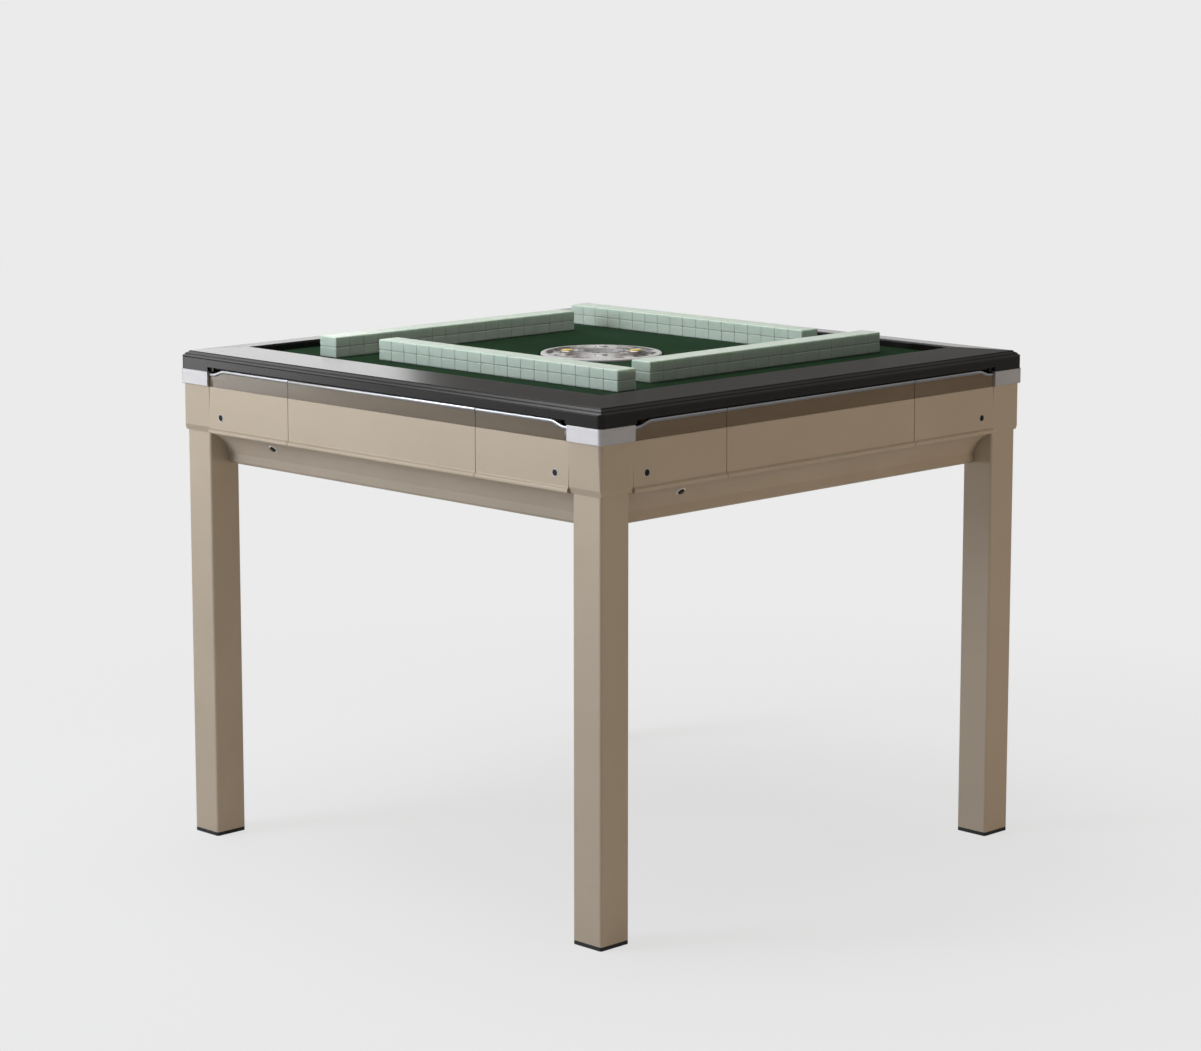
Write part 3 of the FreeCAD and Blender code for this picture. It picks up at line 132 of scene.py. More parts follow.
finishLooks = {
    "champagnePaint": {"dark": (0.440, 0.358, 0.265), "light": (0.470, 0.386, 0.290), "patchScale": 5.0,
                       "grainScale": 1400.0, "rough": (0.36, 0.46), "bump": 0.04, "depth": 0.0001,
                       "sockets": {"Metallic": 0.30, "Specular IOR Level": 0.22}},
    # under tray: the apron's champagne painted about a quarter darker, painted shade under the apron's lip
    "trayPlasticPaintedShade": {"dark": (0.335, 0.272, 0.202), "light": (0.365, 0.300, 0.226), "patchScale": 6.0,
                    "grainScale": 900.0, "rough": (0.46, 0.58), "bump": 0.10, "depth": 0.0002,
                    "sockets": {"Specular IOR Level": 0.25}},
    "blackRubber": {"dark": (0.010, 0.010, 0.010), "light": (0.018, 0.018, 0.018), "patchScale": 40.0,
                    "grainScale": 700.0, "rough": (0.55, 0.75), "bump": 0.2},
    "satinSilver": {"dark": (0.55, 0.525, 0.515), "light": (0.60, 0.575, 0.565), "patchScale": 18.0,
                    "grainScale": 500.0, "stretch": (1.0, 1.0, 6.0), "rough": (0.42, 0.50), "bump": 0.02,
                    "depth": 0.0001, "sockets": {"Metallic": 0.75}},
    "edgeSilver": {"dark": (0.40, 0.395, 0.40), "light": (0.46, 0.455, 0.46), "patchScale": 12.0,
                   "grainScale": 500.0, "rough": (0.28, 0.36), "bump": 0.02, "depth": 0.0001,
                   "sockets": {"Metallic": 1.0}},
    "graphiteFrame": {"dark": (0.0095, 0.0085, 0.0078), "light": (0.0135, 0.0122, 0.0112), "patchScale": 8.0,
                      "grainScale": 650.0, "rough": (0.16, 0.22), "bump": 0.06, "depth": 0.0001,
                      "sockets": {"Specular IOR Level": 0.32}},
    "smokedBand": {"dark": (0.110, 0.078, 0.045), "light": (0.142, 0.104, 0.065), "patchScale": 9.0,
                   "grainScale": 160.0, "stretch": (0.25, 0.25, 3.0), "rough": (0.16, 0.24), "bump": 0.02,
                   "depth": 0.0001, "sockets": {"Coat Weight": 0.25, "Coat Roughness": 0.06}},
    "compositeBoard": {"dark": (0.014, 0.013, 0.012), "light": (0.020, 0.019, 0.017), "patchScale": 60.0,
                       "grainScale": 900.0, "rough": (0.6, 0.75), "bump": 0.2},
    "greySteel": {"dark": (0.075, 0.078, 0.082), "light": (0.095, 0.098, 0.102), "patchScale": 12.0,
                  "grainScale": 800.0, "rough": (0.45, 0.6), "bump": 0.12, "sockets": {"Metallic": 0.4}},
    "blackZinc": {"dark": (0.012, 0.012, 0.012), "light": (0.022, 0.022, 0.022), "patchScale": 200.0,
                  "grainScale": 1500.0, "rough": (0.35, 0.5), "bump": 0.1, "sockets": {"Metallic": 0.6}},
    "groundSteel": {"dark": (0.42, 0.43, 0.44), "light": (0.52, 0.53, 0.54), "patchScale": 30.0,
                    "grainScale": 900.0, "stretch": (1.0, 1.0, 0.15), "rough": (0.22, 0.36), "bump": 0.08,
                    "sockets": {"Metallic": 1.0}},
    "millAlloy": {"dark": (0.48, 0.49, 0.50), "light": (0.56, 0.57, 0.58), "patchScale": 25.0,
                  "grainScale": 1100.0, "rough": (0.34, 0.48), "bump": 0.1, "sockets": {"Metallic": 1.0}},
    # lift platforms: an alloy part painted near black, painted shade so its edge under the tile walls reads
    # as the shadow at the walls' feet
    "darkAlloyPaintedShade": {"dark": (0.030, 0.031, 0.032), "light": (0.042, 0.043, 0.044), "patchScale": 25.0,
                  "grainScale": 1100.0, "rough": (0.45, 0.60), "bump": 0.1, "sockets": {"Metallic": 0.5}},
    "tileResin": {"dark": (0.545, 0.63, 0.535), "light": (0.595, 0.675, 0.58), "patchScale": 35.0,
                  "grainScale": 500.0, "rough": (0.30, 0.40), "bump": 0.03, "depth": 0.0001,
                  "sockets": {"Subsurface Weight": 0.85, "Subsurface Scale": 0.007,
                              "Subsurface Radius": (0.8, 1.0, 0.9), "Specular IOR Level": 0.4}},
    "pearlWhite": {"dark": (0.46, 0.45, 0.44), "light": (0.56, 0.55, 0.54), "patchScale": 28.0,
                   "grainScale": 1800.0, "rough": (0.22, 0.32), "bump": 0.03, "depth": 0.0001,
                   "sockets": {"Coat Weight": 0.3, "Coat Roughness": 0.08}},
    "washerPlastic": {"dark": (0.62, 0.60, 0.56), "light": (0.68, 0.66, 0.62), "patchScale": 120.0,
                      "grainScale": 1500.0, "rough": (0.35, 0.45), "bump": 0.03, "depth": 0.0001},
    "pipWhite": {"dark": (0.78, 0.77, 0.73), "light": (0.83, 0.82, 0.79), "patchScale": 120.0,
                 "grainScale": 2000.0, "rough": (0.15, 0.25), "bump": 0.02, "depth": 0.0001},
    "buttonYellow": {"dark": (0.78, 0.50, 0.03), "light": (0.86, 0.58, 0.05), "patchScale": 150.0,
                     "grainScale": 1600.0, "rough": (0.2, 0.3), "bump": 0.02, "depth": 0.0001,
                     "sockets": {"Coat Weight": 0.4}},
    "drumPlastic": {"dark": (0.24, 0.25, 0.25), "light": (0.29, 0.30, 0.30), "patchScale": 14.0,
                    "grainScale": 700.0, "rough": (0.5, 0.65), "bump": 0.12},
    "gearPlastic": {"dark": (0.64, 0.62, 0.54), "light": (0.71, 0.69, 0.61), "patchScale": 60.0,
                    "grainScale": 1200.0, "rough": (0.4, 0.5), "bump": 0.05},
    "motorCase": {"dark": (0.022, 0.022, 0.024), "light": (0.034, 0.034, 0.036), "patchScale": 30.0,
                  "grainScale": 900.0, "rough": (0.4, 0.55), "bump": 0.12, "sockets": {"Metallic": 0.3}},
    "beltRubber": {"dark": (0.014, 0.020, 0.015), "light": (0.022, 0.028, 0.022), "patchScale": 40.0,
                   "grainScale": 600.0, "rough": (0.7, 0.85), "bump": 0.3},
    "circuitGreen": {"dark": (0.010, 0.055, 0.022), "light": (0.020, 0.085, 0.035), "patchScale": 120.0,
                     "grainScale": 900.0, "rough": (0.35, 0.5), "bump": 0.1},
    "diceBlack": {"dark": (0.012, 0.011, 0.013), "light": (0.024, 0.022, 0.026), "patchScale": 90.0,
                  "grainScale": 1500.0, "rough": (0.12, 0.2), "bump": 0.02, "depth": 0.0001},
}
finishes = {name: makeFinish(name, look) for name, look in finishLooks.items()}


def makeFelt(look):
    # short fibres: speckled green, a dull sheen and a deep fine bump
    material, tree, shader = newMaterial("greenFelt")
    vector = objectVector(tree)
    fibre = addNoise(tree, vector, look["fibreScale"], detail=4.0, roughness=0.7)
    speckle = addRamp(tree, fibre, look["tones"])
    nap = addRange(tree, addNoise(tree, vector, look["napScale"]), *look["nap"])  # brushed patches
    brushed = tree.nodes.new("ShaderNodeVectorMath")
    brushed.operation = "SCALE"
    tree.links.new(speckle, brushed.inputs[0])
    tree.links.new(nap, brushed.inputs["Scale"])
    tree.links.new(brushed.outputs["Vector"], shader.inputs["Base Color"])
    addBump(tree, shader, fibre, look["bump"], look["depth"])
    shader.inputs["Roughness"].default_value = look["rough"]
    shader.inputs["Specular IOR Level"].default_value = look["gloss"]
    shader.inputs["Sheen Weight"].default_value = look["sheen"]
    shader.inputs["Sheen Roughness"].default_value = look["sheenRough"]
    shader.inputs["Sheen Tint"].default_value = (*look["sheenTint"], 1.0)
    return material


feltLook = {"tones": ((0.25, (0.004, 0.016, 0.005)), (0.5, (0.008, 0.028, 0.010)),
                      (0.8, (0.018, 0.050, 0.020))),
            "fibreScale": 900.0, "bump": 0.6, "depth": 0.0005, "rough": 0.95, "gloss": 0.1, "sheen": 0.05,
            "sheenRough": 0.5, "sheenTint": (0.018, 0.050, 0.020), "napScale": 7.0, "nap": (0.86, 1.10)}
finishes["greenFelt"] = makeFelt(feltLook)


def makeClearDome(look):
    material, tree, shader = newMaterial("clearDome")
    smear = addNoise(tree, objectVector(tree), look["smearScale"])
    tree.links.new(addRange(tree, smear, *look["rough"]), shader.inputs["Roughness"])
    shader.inputs["Base Color"].default_value = (*look["tint"], 1.0)
    shader.inputs["Alpha"].default_value = look["alpha"]
    shader.inputs["Specular IOR Level"].default_value = look["gloss"]
    return material


clearLook = {"tint": (0.62, 0.62, 0.64), "alpha": 0.09, "gloss": 0.9, "rough": (0.02, 0.06),
             "smearScale": 60.0}
finishes["clearDome"] = makeClearDome(clearLook)


def makeInkedPearl(look):
    # pearl disc, clouded with dark ink towards two opposite corners of the table
    material = makeFinish("inkedPearl", look)
    tree = material.node_tree
    vector = objectVector(tree)
    along = tree.nodes.new("ShaderNodeVectorMath")
    along.operation = "DOT_PRODUCT"
    along.inputs[1].default_value = look["towards"]
    tree.links.new(vector, along.inputs[0])
    away = addMath(tree, "ABSOLUTE", along.outputs["Value"])
    reach = tree.nodes.new("ShaderNodeVectorMath")
    reach.operation = "LENGTH"
    tree.links.new(objectVector(tree, (1.0, 1.0, 0.0)), reach.inputs[0])
    clouds = addNoise(tree, vector, look["cloudScale"], detail=6.0, roughness=0.68)
    ink = addMath(tree, "MULTIPLY", addRange(tree, away, 0.0, 1.0, look["cloudStart"]),
                  addRange(tree, reach.outputs["Value"], 1.0, 0.0, look["cloudEnd"]))
    ink = addMath(tree, "MULTIPLY", ink, addRange(tree, clouds, 0.0, 1.0, look["cloudEdge"]))
    tone = addRamp(tree, ink, ((0.0, look["light"]), (look["washStop"], look["wash"]), (1.0, look["ink"])))
    tree.links.new(tone, tree.nodes["Principled BSDF"].inputs["Base Color"])
    return material


inkedLook = {**finishLooks["pearlWhite"], "towards": (0.7071, 0.7071, 0.0), "cloudScale": 42.0,
             "cloudStart": (0.012, 0.056), "cloudEnd": (0.086, 0.091), "cloudEdge": (0.42, 0.53),
             "wash": (0.24, 0.21, 0.20), "washStop": 0.35, "ink": (0.018, 0.014, 0.013),
             "sockets": {"Specular IOR Level": 0.14}}
finishes["inkedPearl"] = makeInkedPearl(inkedLook)

nodeFinishes = {
    "champagnePaint": ["legs", "corner_posts", "apron_panels"] + ["chip_drawer_" + s for s in sides],
    "trayPlasticPaintedShade": ["under_tray"],
    "blackRubber": ["leg_pads", "power_inlet", "power_switch"],
    "satinSilver": ["corner_trims"],
    "graphiteFrame": ["frame_rails", "frame_corners"],
    "smokedBand": ["apron_bands"] + ["drawer_band_" + s for s in sides],
    "compositeBoard": ["tabletop_board"],
    "greySteel": ["chassis_frame", "base_plate", "conveyor_frames"],
    "blackZinc": ["leg_bolts", "case_screws"],
    "groundSteel": ["drawer_runners", "console_post", "lift_guide_rods"] + ["lift_crank_" + s for s in sides],
    "millAlloy": ["console_guide"] + ["conveyor_roller_" + s for s in sides],
    "darkAlloyPaintedShade": ["lift_platform_" + s for s in sides],
    "tileResin": ["tile_wall_" + s for s in sides],
    "inkedPearl": ["console_body"],
    "pearlWhite": ["dice_tray", "dice_button_front", "dice_button_back"],
    "diceBlack": ["dice"],
    "buttonYellow": ["dice_button_right", "dice_button_left"],
    "drumPlastic": ["shuffle_drum"],
    "gearPlastic": ["drum_pinion"],
    "motorCase": ["lift_motors", "drum_motor"],
    "beltRubber": ["conveyor_belts"],
    "circuitGreen": ["control_board"],
    "clearDome": ["dice_dome"],
}
for finish, names in nodeFinishes.items():
    for name in names:
        cadNodes[name].data.materials.clear()
        cadNodes[name].data.materials.append(finishes[finish])
print("finishes on the frame:", len(nodeFinishes))


# pieces that the frame carries

sharpAngle = math.radians(35.0)
rimAngle = 0.8  # radians, the least turn at an edge that gets rounded


def newPiece(name, shape, finish, body):
    bmesh.ops.recalc_face_normals(shape, faces=shape.faces)
    mesh = bpy.data.meshes.new(name)
    shape.to_mesh(mesh)
    shape.free()
    for face in mesh.polygons:
        face.use_smooth = True
    mesh.set_sharp_from_angle(angle=sharpAngle)
    mesh.materials.append(finishes[finish])
    piece = bpy.data.objects.new(name, mesh)
    bpy.context.scene.collection.objects.link(piece)
    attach(piece, body)
    return piece


def quarterTurn(quarter):
    return Matrix.Rotation(math.radians(90.0) * quarter, 4, "Z")


def addBar(shape, low, high):
    middle = [(a + b) / 2 * mm for a, b in zip(low, high)]
    span = [(b - a) * mm for a, b in zip(low, high)]
    place = Matrix.Translation(middle) @ Matrix.Diagonal((*span, 1.0))
    bmesh.ops.create_cube(shape, size=1.0, matrix=place)


def spunRing(look):
    # edge, slope and top give the outer corner first, then the inner one
    inner, outer = look["inner"], look["outer"]
    profile = [(inner, look["low"]), (outer, look["low"]), (outer, look["edge"][0]),
               (outer - look["slope"][0], look["top"][0]), (inner + look["slope"][1], look["top"][1]),
               (inner, look["edge"][1])]
    shape = bmesh.new()
    verts = [shape.verts.new((radius * mm, 0.0, rise * mm)) for radius, rise in profile]
    edges = [shape.edges.new((a, b)) for a, b in zip(verts, verts[1:] + verts[:1])]
    bmesh.ops.spin(shape, geom=verts + edges, cent=(0.0, 0.0, 0.0), axis=(0.0, 0.0, 1.0),
                   angle=math.radians(360.0), steps=look["steps"], use_merge=True)
    return shape


def roundEdges(shape, edges, radius, segments=2):
    bmesh.ops.bevel(shape, geom=edges, offset=radius * mm, affect="EDGES", segments=segments, profile=0.5,
                    material=-1)


def gather(pieces):
    # pieces holds (shape, matrix) pairs that end up in one mesh
    whole = bmesh.new()
    for shape, matrix in pieces:
        bmesh.ops.transform(shape, matrix=matrix, verts=shape.verts)
        spare = bpy.data.meshes.new("spare")
        shape.to_mesh(spare)
        shape.free()
        whole.from_mesh(spare)
        bpy.data.meshes.remove(spare)
    return whole


# bright strip along the top edge of the apron, falling in an S curve at the table's corners
edgeStrip = {"inner": 474.6, "outer": 477.55, "low": 768.1, "high": 772.9, "drawerHalf": 214.35,
             "panelStart": 215.65, "panelEnd": 410.5, "curveEnd": 402.0, "curve": 28.0, "drop": 7.0,
             "cutFrom": 10.0, "cuts": 60, "edge": 0.5}


def stripShape(look, start, end, falls):
    shape = bmesh.new()
    addBar(shape, (start, -look["outer"], look["low"]), (end, -look["inner"], look["high"]))
    if falls:
        lengthwise = [e for e in shape.edges
                      if abs(e.verts[0].co.x - e.verts[1].co.x) > look["cutFrom"] * mm]
        bmesh.ops.subdivide_edges(shape, edges=lengthwise, cuts=look["cuts"])
        for vert in shape.verts:
            share = (vert.co.x / mm - look["curveEnd"]) / look["curve"] + 1.0
            share = min(max(share, 0.0), 1.0)
            vert.co.z -= look["drop"] * mm * share * share * (3.0 - 2.0 * share)  # smooth step
    roundEdges(shape, [e for e in shape.edges if e.calc_face_angle(0.0) > rimAngle], look["edge"])
    return shape


for quarter, side in enumerate(sides):
    shape = stripShape(edgeStrip, -edgeStrip["drawerHalf"], edgeStrip["drawerHalf"], False)
    bmesh.ops.transform(shape, matrix=quarterTurn(quarter), verts=shape.verts)
    newPiece("drawerStrip_" + side, shape, "edgeSilver", "drawer_" + side)
    for name, flip in (("panelStripRight_", 1.0), ("panelStripLeft_", -1.0)):
        shape = stripShape(edgeStrip, edgeStrip["panelStart"], edgeStrip["panelEnd"], True)
        bmesh.ops.transform(shape, matrix=quarterTurn(quarter) @ Matrix.Diagonal((flip, 1.0, 1.0, 1.0)),
                            verts=shape.verts)
        newPiece(name + side, shape, "edgeSilver", "table")


# ends of the smoked band, between its last panel and the silver trims
bandEnd = {"start": 402.2, "end": 410.6, "inner": 474.7, "outer": 476.5, "low": 744.8, "high": 760.8,
           "edge": 0.3}
ends = []
for quarter in range(4):
    for flip in (1.0, -1.0):
        shape = bmesh.new()
        addBar(shape, (bandEnd["start"], -bandEnd["outer"], bandEnd["low"]),
               (bandEnd["end"], -bandEnd["inner"], bandEnd["high"]))
        roundEdges(shape, list(shape.edges), bandEnd["edge"])
        ends.append((shape, quarterTurn(quarter) @ Matrix.Diagonal((flip, 1.0, 1.0, 1.0))))
newPiece("bandEnds", gather(ends), "smokedBand", "table")
print("band ends:", len(ends))


# rings round the apron screws, washers round the tray bolts, and domed screw caps with a socket
apronScrew = {"x": 383.0, "height": 696.0}
screwRing = {"inner": 5.0, "outer": 6.0, "low": -0.3, "edge": (0.15, 0.1), "slope": (0.3, 0.3),
             "top": (0.3, 0.3), "steps": 40, "face": 477.0}
boltWasher = {"inner": 5.4, "outer": 8.2, "low": -0.6, "edge": (0.5, 0.6), "slope": (0.6, 0.4),
              "top": (1.0, 1.0), "steps": 40, "shift": 285.0, "out": 449.9, "height": 654.6, "tilt": 44.4}
screwCap = {"inner": 2.2, "outer": 4.5, "low": -0.2, "edge": (0.1, 0.3), "slope": (0.6, 0.4),
            "top": (0.35, 0.45), "steps": 40, "face": 476.4}


def screwPlaces(face):
    towardsFront = Matrix.Rotation(math.radians(90.0), 4, "X")
    for quarter in range(4):
        for x in (-apronScrew["x"], apronScrew["x"]):
            place = Matrix.Translation((x * mm, -face * mm, apronScrew["height"] * mm))
            yield quarterTurn(quarter) @ place @ towardsFront


rings = [(spunRing(screwRing), place) for place in screwPlaces(screwRing["face"])]
newPiece("screwRings", gather(rings), "satinSilver", "table")
boltPlace = Matrix.Translation((-boltWasher["shift"] * mm, -boltWasher["out"] * mm,
                                boltWasher["height"] * mm))
boltPlace = boltPlace @ Matrix.Rotation(math.radians(180.0 - boltWasher["tilt"]), 4, "X")
washers = [(spunRing(boltWasher), quarterTurn(quarter) @ boltPlace) for quarter in range(4)]
newPiece("boltWashers", gather(washers), "washerPlastic", "table")
caps = [(spunRing(screwCap), place) for place in screwPlaces(screwCap["face"])]
newPiece("screwCaps", gather(caps), "blackZinc", "table")
print("screw rings, washers and caps:", len(rings) + len(washers) + len(caps))


# cloth stretched over the board, cut out for the walls and the console
feltCloth = {"half": 399.8, "low": 789.0, "high": 791.0, "slot": (-199.25, 337.9, -303.4, -261.1),
             "hole": 101.0, "holeSteps": 128, "edge": 0.7, "topBand": 0.5}


def feltShape(look):
    shape = bmesh.new()
    bmesh.ops.create_grid(shape, x_segments=1, y_segments=1, size=look["half"] * mm)
    x0, x1, y0, y1 = look["slot"]
    slotPlace = Matrix.Translation(((x0 + x1) / 2 * mm, (y0 + y1) / 2 * mm, 0.0))
    slotSpan = Matrix.Diagonal(((x1 - x0) / 2 * mm, (y1 - y0) / 2 * mm, 1.0, 1.0))
    for quarter in range(4):
        bmesh.ops.create_grid(shape, x_segments=1, y_segments=1, size=1.0,
                              matrix=quarterTurn(quarter) @ slotPlace @ slotSpan)
    bmesh.ops.delete(shape, geom=list(shape.faces), context="FACES_ONLY")
    bmesh.ops.create_circle(shape, cap_ends=False, segments=look["holeSteps"], radius=look["hole"] * mm)
    level = look["high"] * mm
    bmesh.ops.translate(shape, verts=shape.verts, vec=(0.0, 0.0, level))
    bmesh.ops.triangle_fill(shape, edges=shape.edges, use_beauty=True, use_dissolve=False,
                            normal=(0.0, 0.0, 1.0))
    bmesh.ops.recalc_face_normals(shape, faces=shape.faces)
    if shape.faces[0].normal.z < 0.0:
        bmesh.ops.reverse_faces(shape, faces=shape.faces)
    bmesh.ops.solidify(shape, geom=list(shape.faces), thickness=(look["high"] - look["low"]) * mm)
    topFrom = level - look["topBand"] * mm
    rims = [e for e in shape.edges if e.calc_face_angle(0.0) > rimAngle
            and min(vert.co.z for vert in e.verts) > topFrom]
    roundEdges(shape, rims, look["edge"])
    return shape


felt = newPiece("feltCloth", feltShape(feltCloth), "greenFelt", "table")
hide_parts("playing_felt")


# console: a ring round the dice window and bezels round the buttons
windowRing = {"inner": 35.2, "outer": 38.0, "low": -0.5, "edge": (0.3, 0.3), "slope": (0.7, 0.7),
              "top": (0.7, 0.7), "steps": 96, "level": 796.5}
ring = spunRing(windowRing)
bmesh.ops.translate(ring, verts=ring.verts, vec=(0.0, 0.0, windowRing["level"] * mm))
newPiece("windowRing", ring, "edgeSilver", "console")
buttonBezel = {"inner": 9.55, "outer": 11.6, "low": -0.8, "edge": (0.2, 0.2), "slope": (0.6, 0.6),
               "top": (0.75, 0.75), "steps": 48, "reach": 55.0, "turn": 45.0, "level": 796.05}
bezelPlace = Matrix.Rotation(math.radians(buttonBezel["turn"]), 4, "Z")
bezelPlace = bezelPlace @ Matrix.Translation((0.0, -buttonBezel["reach"] * mm, buttonBezel["level"] * mm))
bezels = [(spunRing(buttonBezel), quarterTurn(quarter) @ bezelPlace) for quarter in range(4)]
newPiece("buttonBezels", gather(bezels), "edgeSilver", "console")


# pips on the dice, a five and a three: each die has its place, its turn and its spots
dicePips = {"radius": 0.85, "taper": 0.8, "thick": 0.2, "steps": 20, "level": 794.2, "spread": 2.3,
            "dice": ((-9.0, -4.5, 20.0, ((0, 0), (-1, -1), (1, 1), (-1, 1), (1, -1))),
                     (9.0, 4.5, 55.0, ((0, 0), (-1, -1), (1, 1))))}
pips = []
for x, y, turn, spots in dicePips["dice"]:
    diePlace = Matrix.Translation((x * mm, y * mm, dicePips["level"] * mm))
    diePlace = diePlace @ Matrix.Rotation(math.radians(turn), 4, "Z")
    for across, along in spots:
        pip = bmesh.new()
        bmesh.ops.create_cone(pip, cap_ends=True, segments=dicePips["steps"], depth=dicePips["thick"] * mm,
                              radius1=dicePips["radius"] * mm,
                              radius2=dicePips["taper"] * dicePips["radius"] * mm)
        step = Matrix.Translation((across * dicePips["spread"] * mm, along * dicePips["spread"] * mm, 0.0))
        pips.append((pip, diePlace @ step))
newPiece("dicePips", gather(pips), "pipWhite", "dice_spinner")
print("console ring and bezels, dice pips:", len(pips))


# moulded chip trays in the drawers
chipTray = {"x": 200.5, "front": 470.5, "back": 318.5, "top": 708.0, "low": 688.2, "cells": 4, "rib": 5.0,
            "skin": 1.4, "round": 2.5, "roundSteps": 3}


def trayShape(look):
    shape = bmesh.new()
    wide = look["x"] * mm
    deep = (look["front"] - look["back"]) / 2 * mm
    place = Matrix.Translation((0.0, -(look["front"] + look["back"]) / 2 * mm, look["top"] * mm))
    bmesh.ops.create_grid(shape, x_segments=look["cells"], y_segments=1, size=1.0,
                          matrix=place @ Matrix.Diagonal((wide, deep, 1.0, 1.0)))
    cells = bmesh.ops.inset_individual(shape, faces=list(shape.faces), thickness=look["rib"] * mm)
    floors = [f for f in shape.faces if f not in cells["faces"]]
    sunk = bmesh.ops.extrude_discrete_faces(shape, faces=floors)["faces"]
    for face in sunk:
        bmesh.ops.translate(shape, verts=face.verts, vec=(0.0, 0.0, (look["low"] - look["top"]) * mm))
    corners = [e for e in shape.edges if not e.is_boundary and e.calc_face_angle(0.0) > rimAngle]
    roundEdges(shape, corners, look["round"], look["roundSteps"])
    bmesh.ops.recalc_face_normals(shape, faces=shape.faces)
    bmesh.ops.solidify(shape, geom=list(shape.faces), thickness=look["skin"] * mm)
    return shape


for quarter, side in enumerate(sides):
    shape = trayShape(chipTray)
    bmesh.ops.transform(shape, matrix=quarterTurn(quarter), verts=shape.verts)
    newPiece("chipTray_" + side, shape, "blackRubber", "drawer_" + side)
print("chip trays:", len(sides))


# stage, light and camera

def seenRay(tree):
    # 1 where the camera, a mirror or clear material looks at the backdrop
    rays = tree.nodes.new("ShaderNodeLightPath").outputs
    seen = addMath(tree, "MAXIMUM", rays["Is Camera Ray"], rays["Is Glossy Ray"])
    return addMath(tree, "MAXIMUM", seen, rays["Is Transmission Ray"])


def makeFloorFinish(look):
    # holds the table's shadow near by and glows as the backdrop farther out
    material = bpy.data.materials.new("paleFloor")
    material.use_nodes = True
    tree = material.node_tree
    tree.nodes.clear()
    output = tree.nodes.new("ShaderNodeOutputMaterial")
    diffuse = tree.nodes.new("ShaderNodeBsdfDiffuse")
    diffuse.inputs["Color"].default_value = (*look["colour"], 1.0)
    glow = tree.nodes.new("ShaderNodeEmission")
    glow.inputs["Color"].default_value = (*look["backdrop"], 1.0)
    coords = tree.nodes.new("ShaderNodeTexCoord")
    parts = tree.nodes.new("ShaderNodeSeparateXYZ")
    tree.links.new(coords.outputs["Object"], parts.inputs["Vector"])
    # glossy faces mirror a white card at the left alone
    card = addRange(tree, parts.outputs["X"], look["onCard"] - 1.0, look["besideCard"] - 1.0,
                    look["cardEdge"])
    path = tree.nodes.new("ShaderNodeLightPath")
    level = addMath(tree, "MULTIPLY_ADD", path.outputs["Is Glossy Ray"], card, 1.0)
    tree.links.new(level, glow.inputs["Strength"])
    reach = tree.nodes.new("ShaderNodeVectorMath")
    reach.operation = "LENGTH"
    tree.links.new(coords.outputs["Object"], reach.inputs[0])
    fade = addRange(tree, reach.outputs["Value"], look["glowShare"], 1.0, look["shadowReach"])
    mix = tree.nodes.new("ShaderNodeMixShader")
    tree.links.new(addMath(tree, "MULTIPLY", seenRay(tree), fade), mix.inputs["Fac"])
    tree.links.new(diffuse.outputs["BSDF"], mix.inputs[1])
    tree.links.new(glow.outputs["Emission"], mix.inputs[2])
    tree.links.new(mix.outputs["Shader"], output.inputs["Surface"])
    return material


def makeFloor(look):
    shape = bmesh.new()
    bmesh.ops.create_circle(shape, cap_ends=True, segments=look["steps"], radius=look["radius"])
    bmesh.ops.translate(shape, verts=shape.verts, vec=(0.0, 0.0, look["drop"]))
    mesh = bpy.data.meshes.new("studioFloor")
    shape.to_mesh(mesh)
    shape.free()
    mesh.materials.append(makeFloorFinish(look))
    floor = bpy.data.objects.new("studioFloor", mesh)
    bpy.context.scene.collection.objects.link(floor)


def makeWorld(look):
    world = bpy.data.worlds.new("studioWorld")
    bpy.context.scene.world = world
    world.use_nodes = True
    tree = world.node_tree
    tree.nodes.clear()
    output = tree.nodes.new("ShaderNodeOutputWorld")
    ambient = tree.nodes.new("ShaderNodeBackground")
    ambient.inputs["Color"].default_value = (*look["colour"], 1.0)
    ambient.inputs["Strength"].default_value = look["ambient"]
    backdrop = tree.nodes.new("ShaderNodeBackground")
    backdrop.inputs["Strength"].default_value = 1.0
    coords = tree.nodes.new("ShaderNodeTexCoord")
    parts = tree.nodes.new("ShaderNodeSeparateXYZ")
    tree.links.new(coords.outputs["Generated"], parts.inputs["Vector"])
    sweep = addRamp(tree, parts.outputs["Z"], look["sweep"])  # pale near the floor, dim above
    tree.links.new(sweep, backdrop.inputs["Color"])
    mix = tree.nodes.new("ShaderNodeMixShader")
    tree.links.new(seenRay(tree), mix.inputs["Fac"])
    tree.links.new(ambient.outputs["Background"], mix.inputs[1])
    tree.links.new(backdrop.outputs["Background"], mix.inputs[2])
    tree.links.new(mix.outputs["Shader"], output.inputs["Surface"])


def addSoftbox(name, look):
    light = bpy.data.lights.new(name, "AREA")
    light.shape = "RECTANGLE"
    light.size = look["width"]
    light.size_y = look["height"]
    light.energy = look["power"]
    light.color = look.get("colour", (1.0, 1.0, 1.0))
    box = bpy.data.objects.new(name, light)
    box.location = look["place"]
    aim = Vector(look["target"]) - Vector(look["place"])
    box.rotation_euler = aim.to_track_quat("-Z", "Y").to_euler()
    box.visible_camera = False
    box.visible_glossy = look.get("mirrored", True)
    bpy.context.scene.collection.objects.link(box)


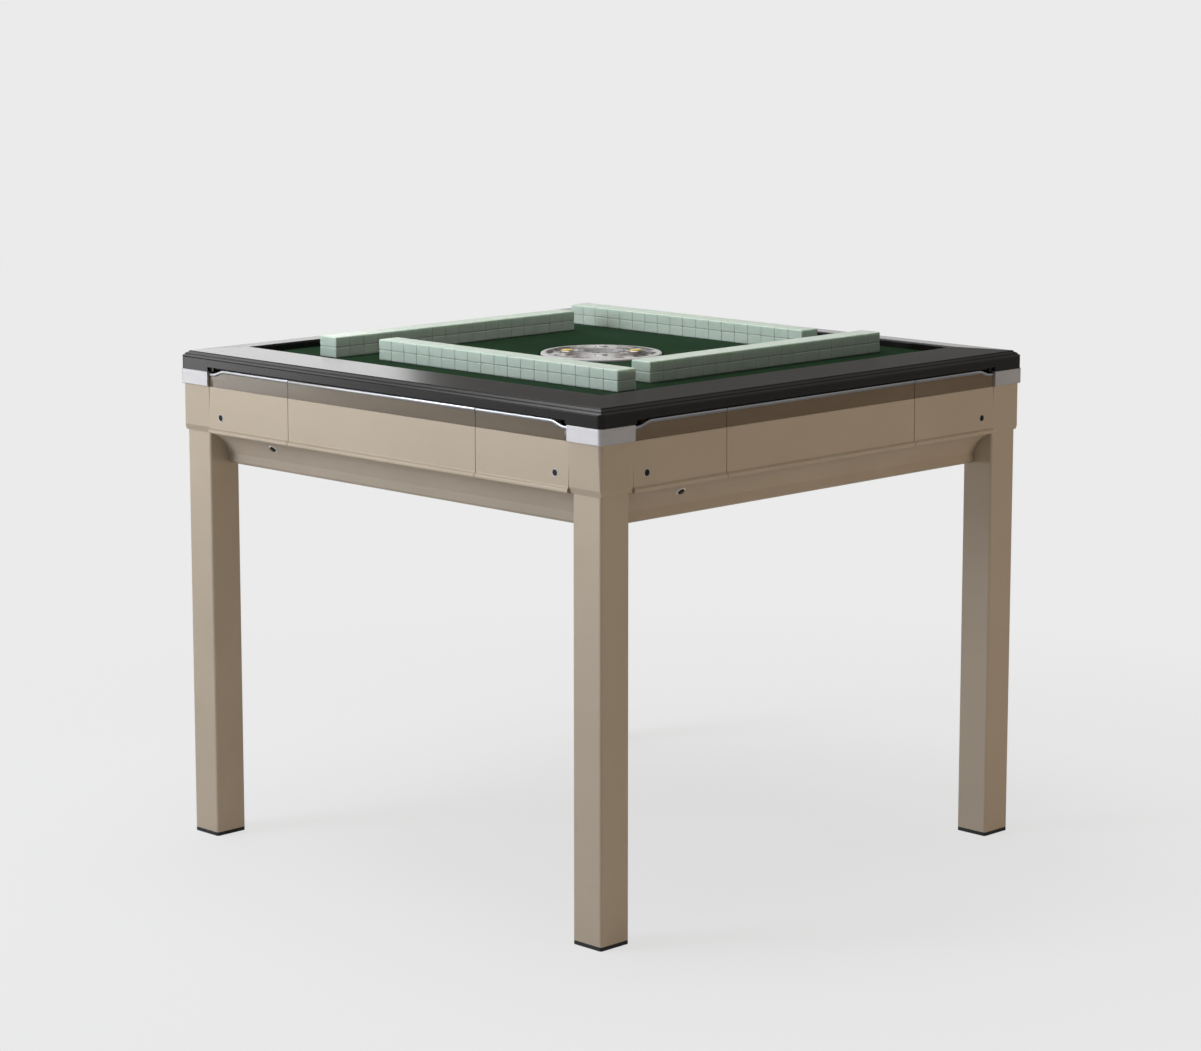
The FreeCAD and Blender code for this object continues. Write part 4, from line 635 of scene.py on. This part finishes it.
backdropTone = (0.83, 0.83, 0.83)
floorLook = {"radius": 120.0, "steps": 96, "drop": -0.0005, "colour": (0.80, 0.80, 0.80),
             "backdrop": backdropTone, "glowShare": 0.80, "shadowReach": (0.75, 1.9),
             "cardEdge": (-3.9, -2.8), "onCard": 1.25, "besideCard": 0.25}
makeFloor(floorLook)
worldLook = {"colour": (1.0, 0.97, 0.93), "ambient": 0.19,
             "sweep": ((0.09, backdropTone), (0.19, (0.135, 0.128, 0.122)), (1.0, (0.30, 0.30, 0.30)))}
makeWorld(worldLook)
softboxes = {
    "topBox": {"place": (-0.5, -0.3, 3.2), "target": (0.0, 0.0, 0.7), "width": 2.6, "height": 2.6,
               "power": 70.0},
    "leftBox": {"place": (-2.7, -5.0, 2.2), "target": (0.0, 0.0, 0.5), "width": 2.2, "height": 2.4,
                "power": 162.0, "colour": (0.925, 1.0, 1.125)},
    "railBox": {"place": (-2.85, 1.35, 1.52), "target": (-0.3, -0.44, 0.8), "width": 1.0, "height": 0.9,
                "power": 5.4},
    "stepBox": {"place": (-2.7, 0.25, 2.5), "target": (-0.3, -0.48, 0.8), "width": 1.0, "height": 0.7,
                "power": 3.0},
    "floorBox": {"place": (-4.6, -3.5, 0.42), "target": (-0.4, -0.48, 0.78), "width": 1.1, "height": 0.8,
                 "power": 9.0},
    "legBox": {"place": (-2.6, -4.6, 0.5), "target": (0.0, 0.0, 0.35), "width": 1.6, "height": 0.6,
               "power": 32.0, "colour": (0.90, 1.0, 1.16), "mirrored": False},
    "warmBox": {"place": (3.7, 1.2, 0.17), "target": (0.3, 0.1, 0.5), "width": 1.7, "height": 0.28,
                "power": 36.0, "colour": (1.0, 0.81, 0.61), "mirrored": False},
}
for name, look in softboxes.items():
    addSoftbox(name, look)


def addCamera(look):
    data = bpy.data.cameras.new("photoCamera")
    data.lens = look["lens"]
    data.sensor_width = look["sensor"]
    data.shift_y = look["shiftY"]
    data.clip_end = look["clipEnd"]
    camera = bpy.data.objects.new("photoCamera", data)
    azimuth = math.radians(look["azimuth"])
    camera.location = (math.sin(azimuth) * look["distance"], -math.cos(azimuth) * look["distance"],
                       look["height"])
    camera.rotation_euler = (math.radians(90.0 - look["pitch"]), 0.0, math.radians(look["heading"]))
    bpy.context.scene.collection.objects.link(camera)
    bpy.context.scene.camera = camera


cameraLook = {"lens": 100.38, "sensor": 36.0, "clipEnd": 300.0, "shiftY": -0.0504, "distance": 5.3618,
              "height": 1.46996, "azimuth": 45.034, "heading": 45.047, "pitch": 9.1168}
addCamera(cameraLook)
bpy.context.scene.view_settings.view_transform = "Standard"
print("stage ready")
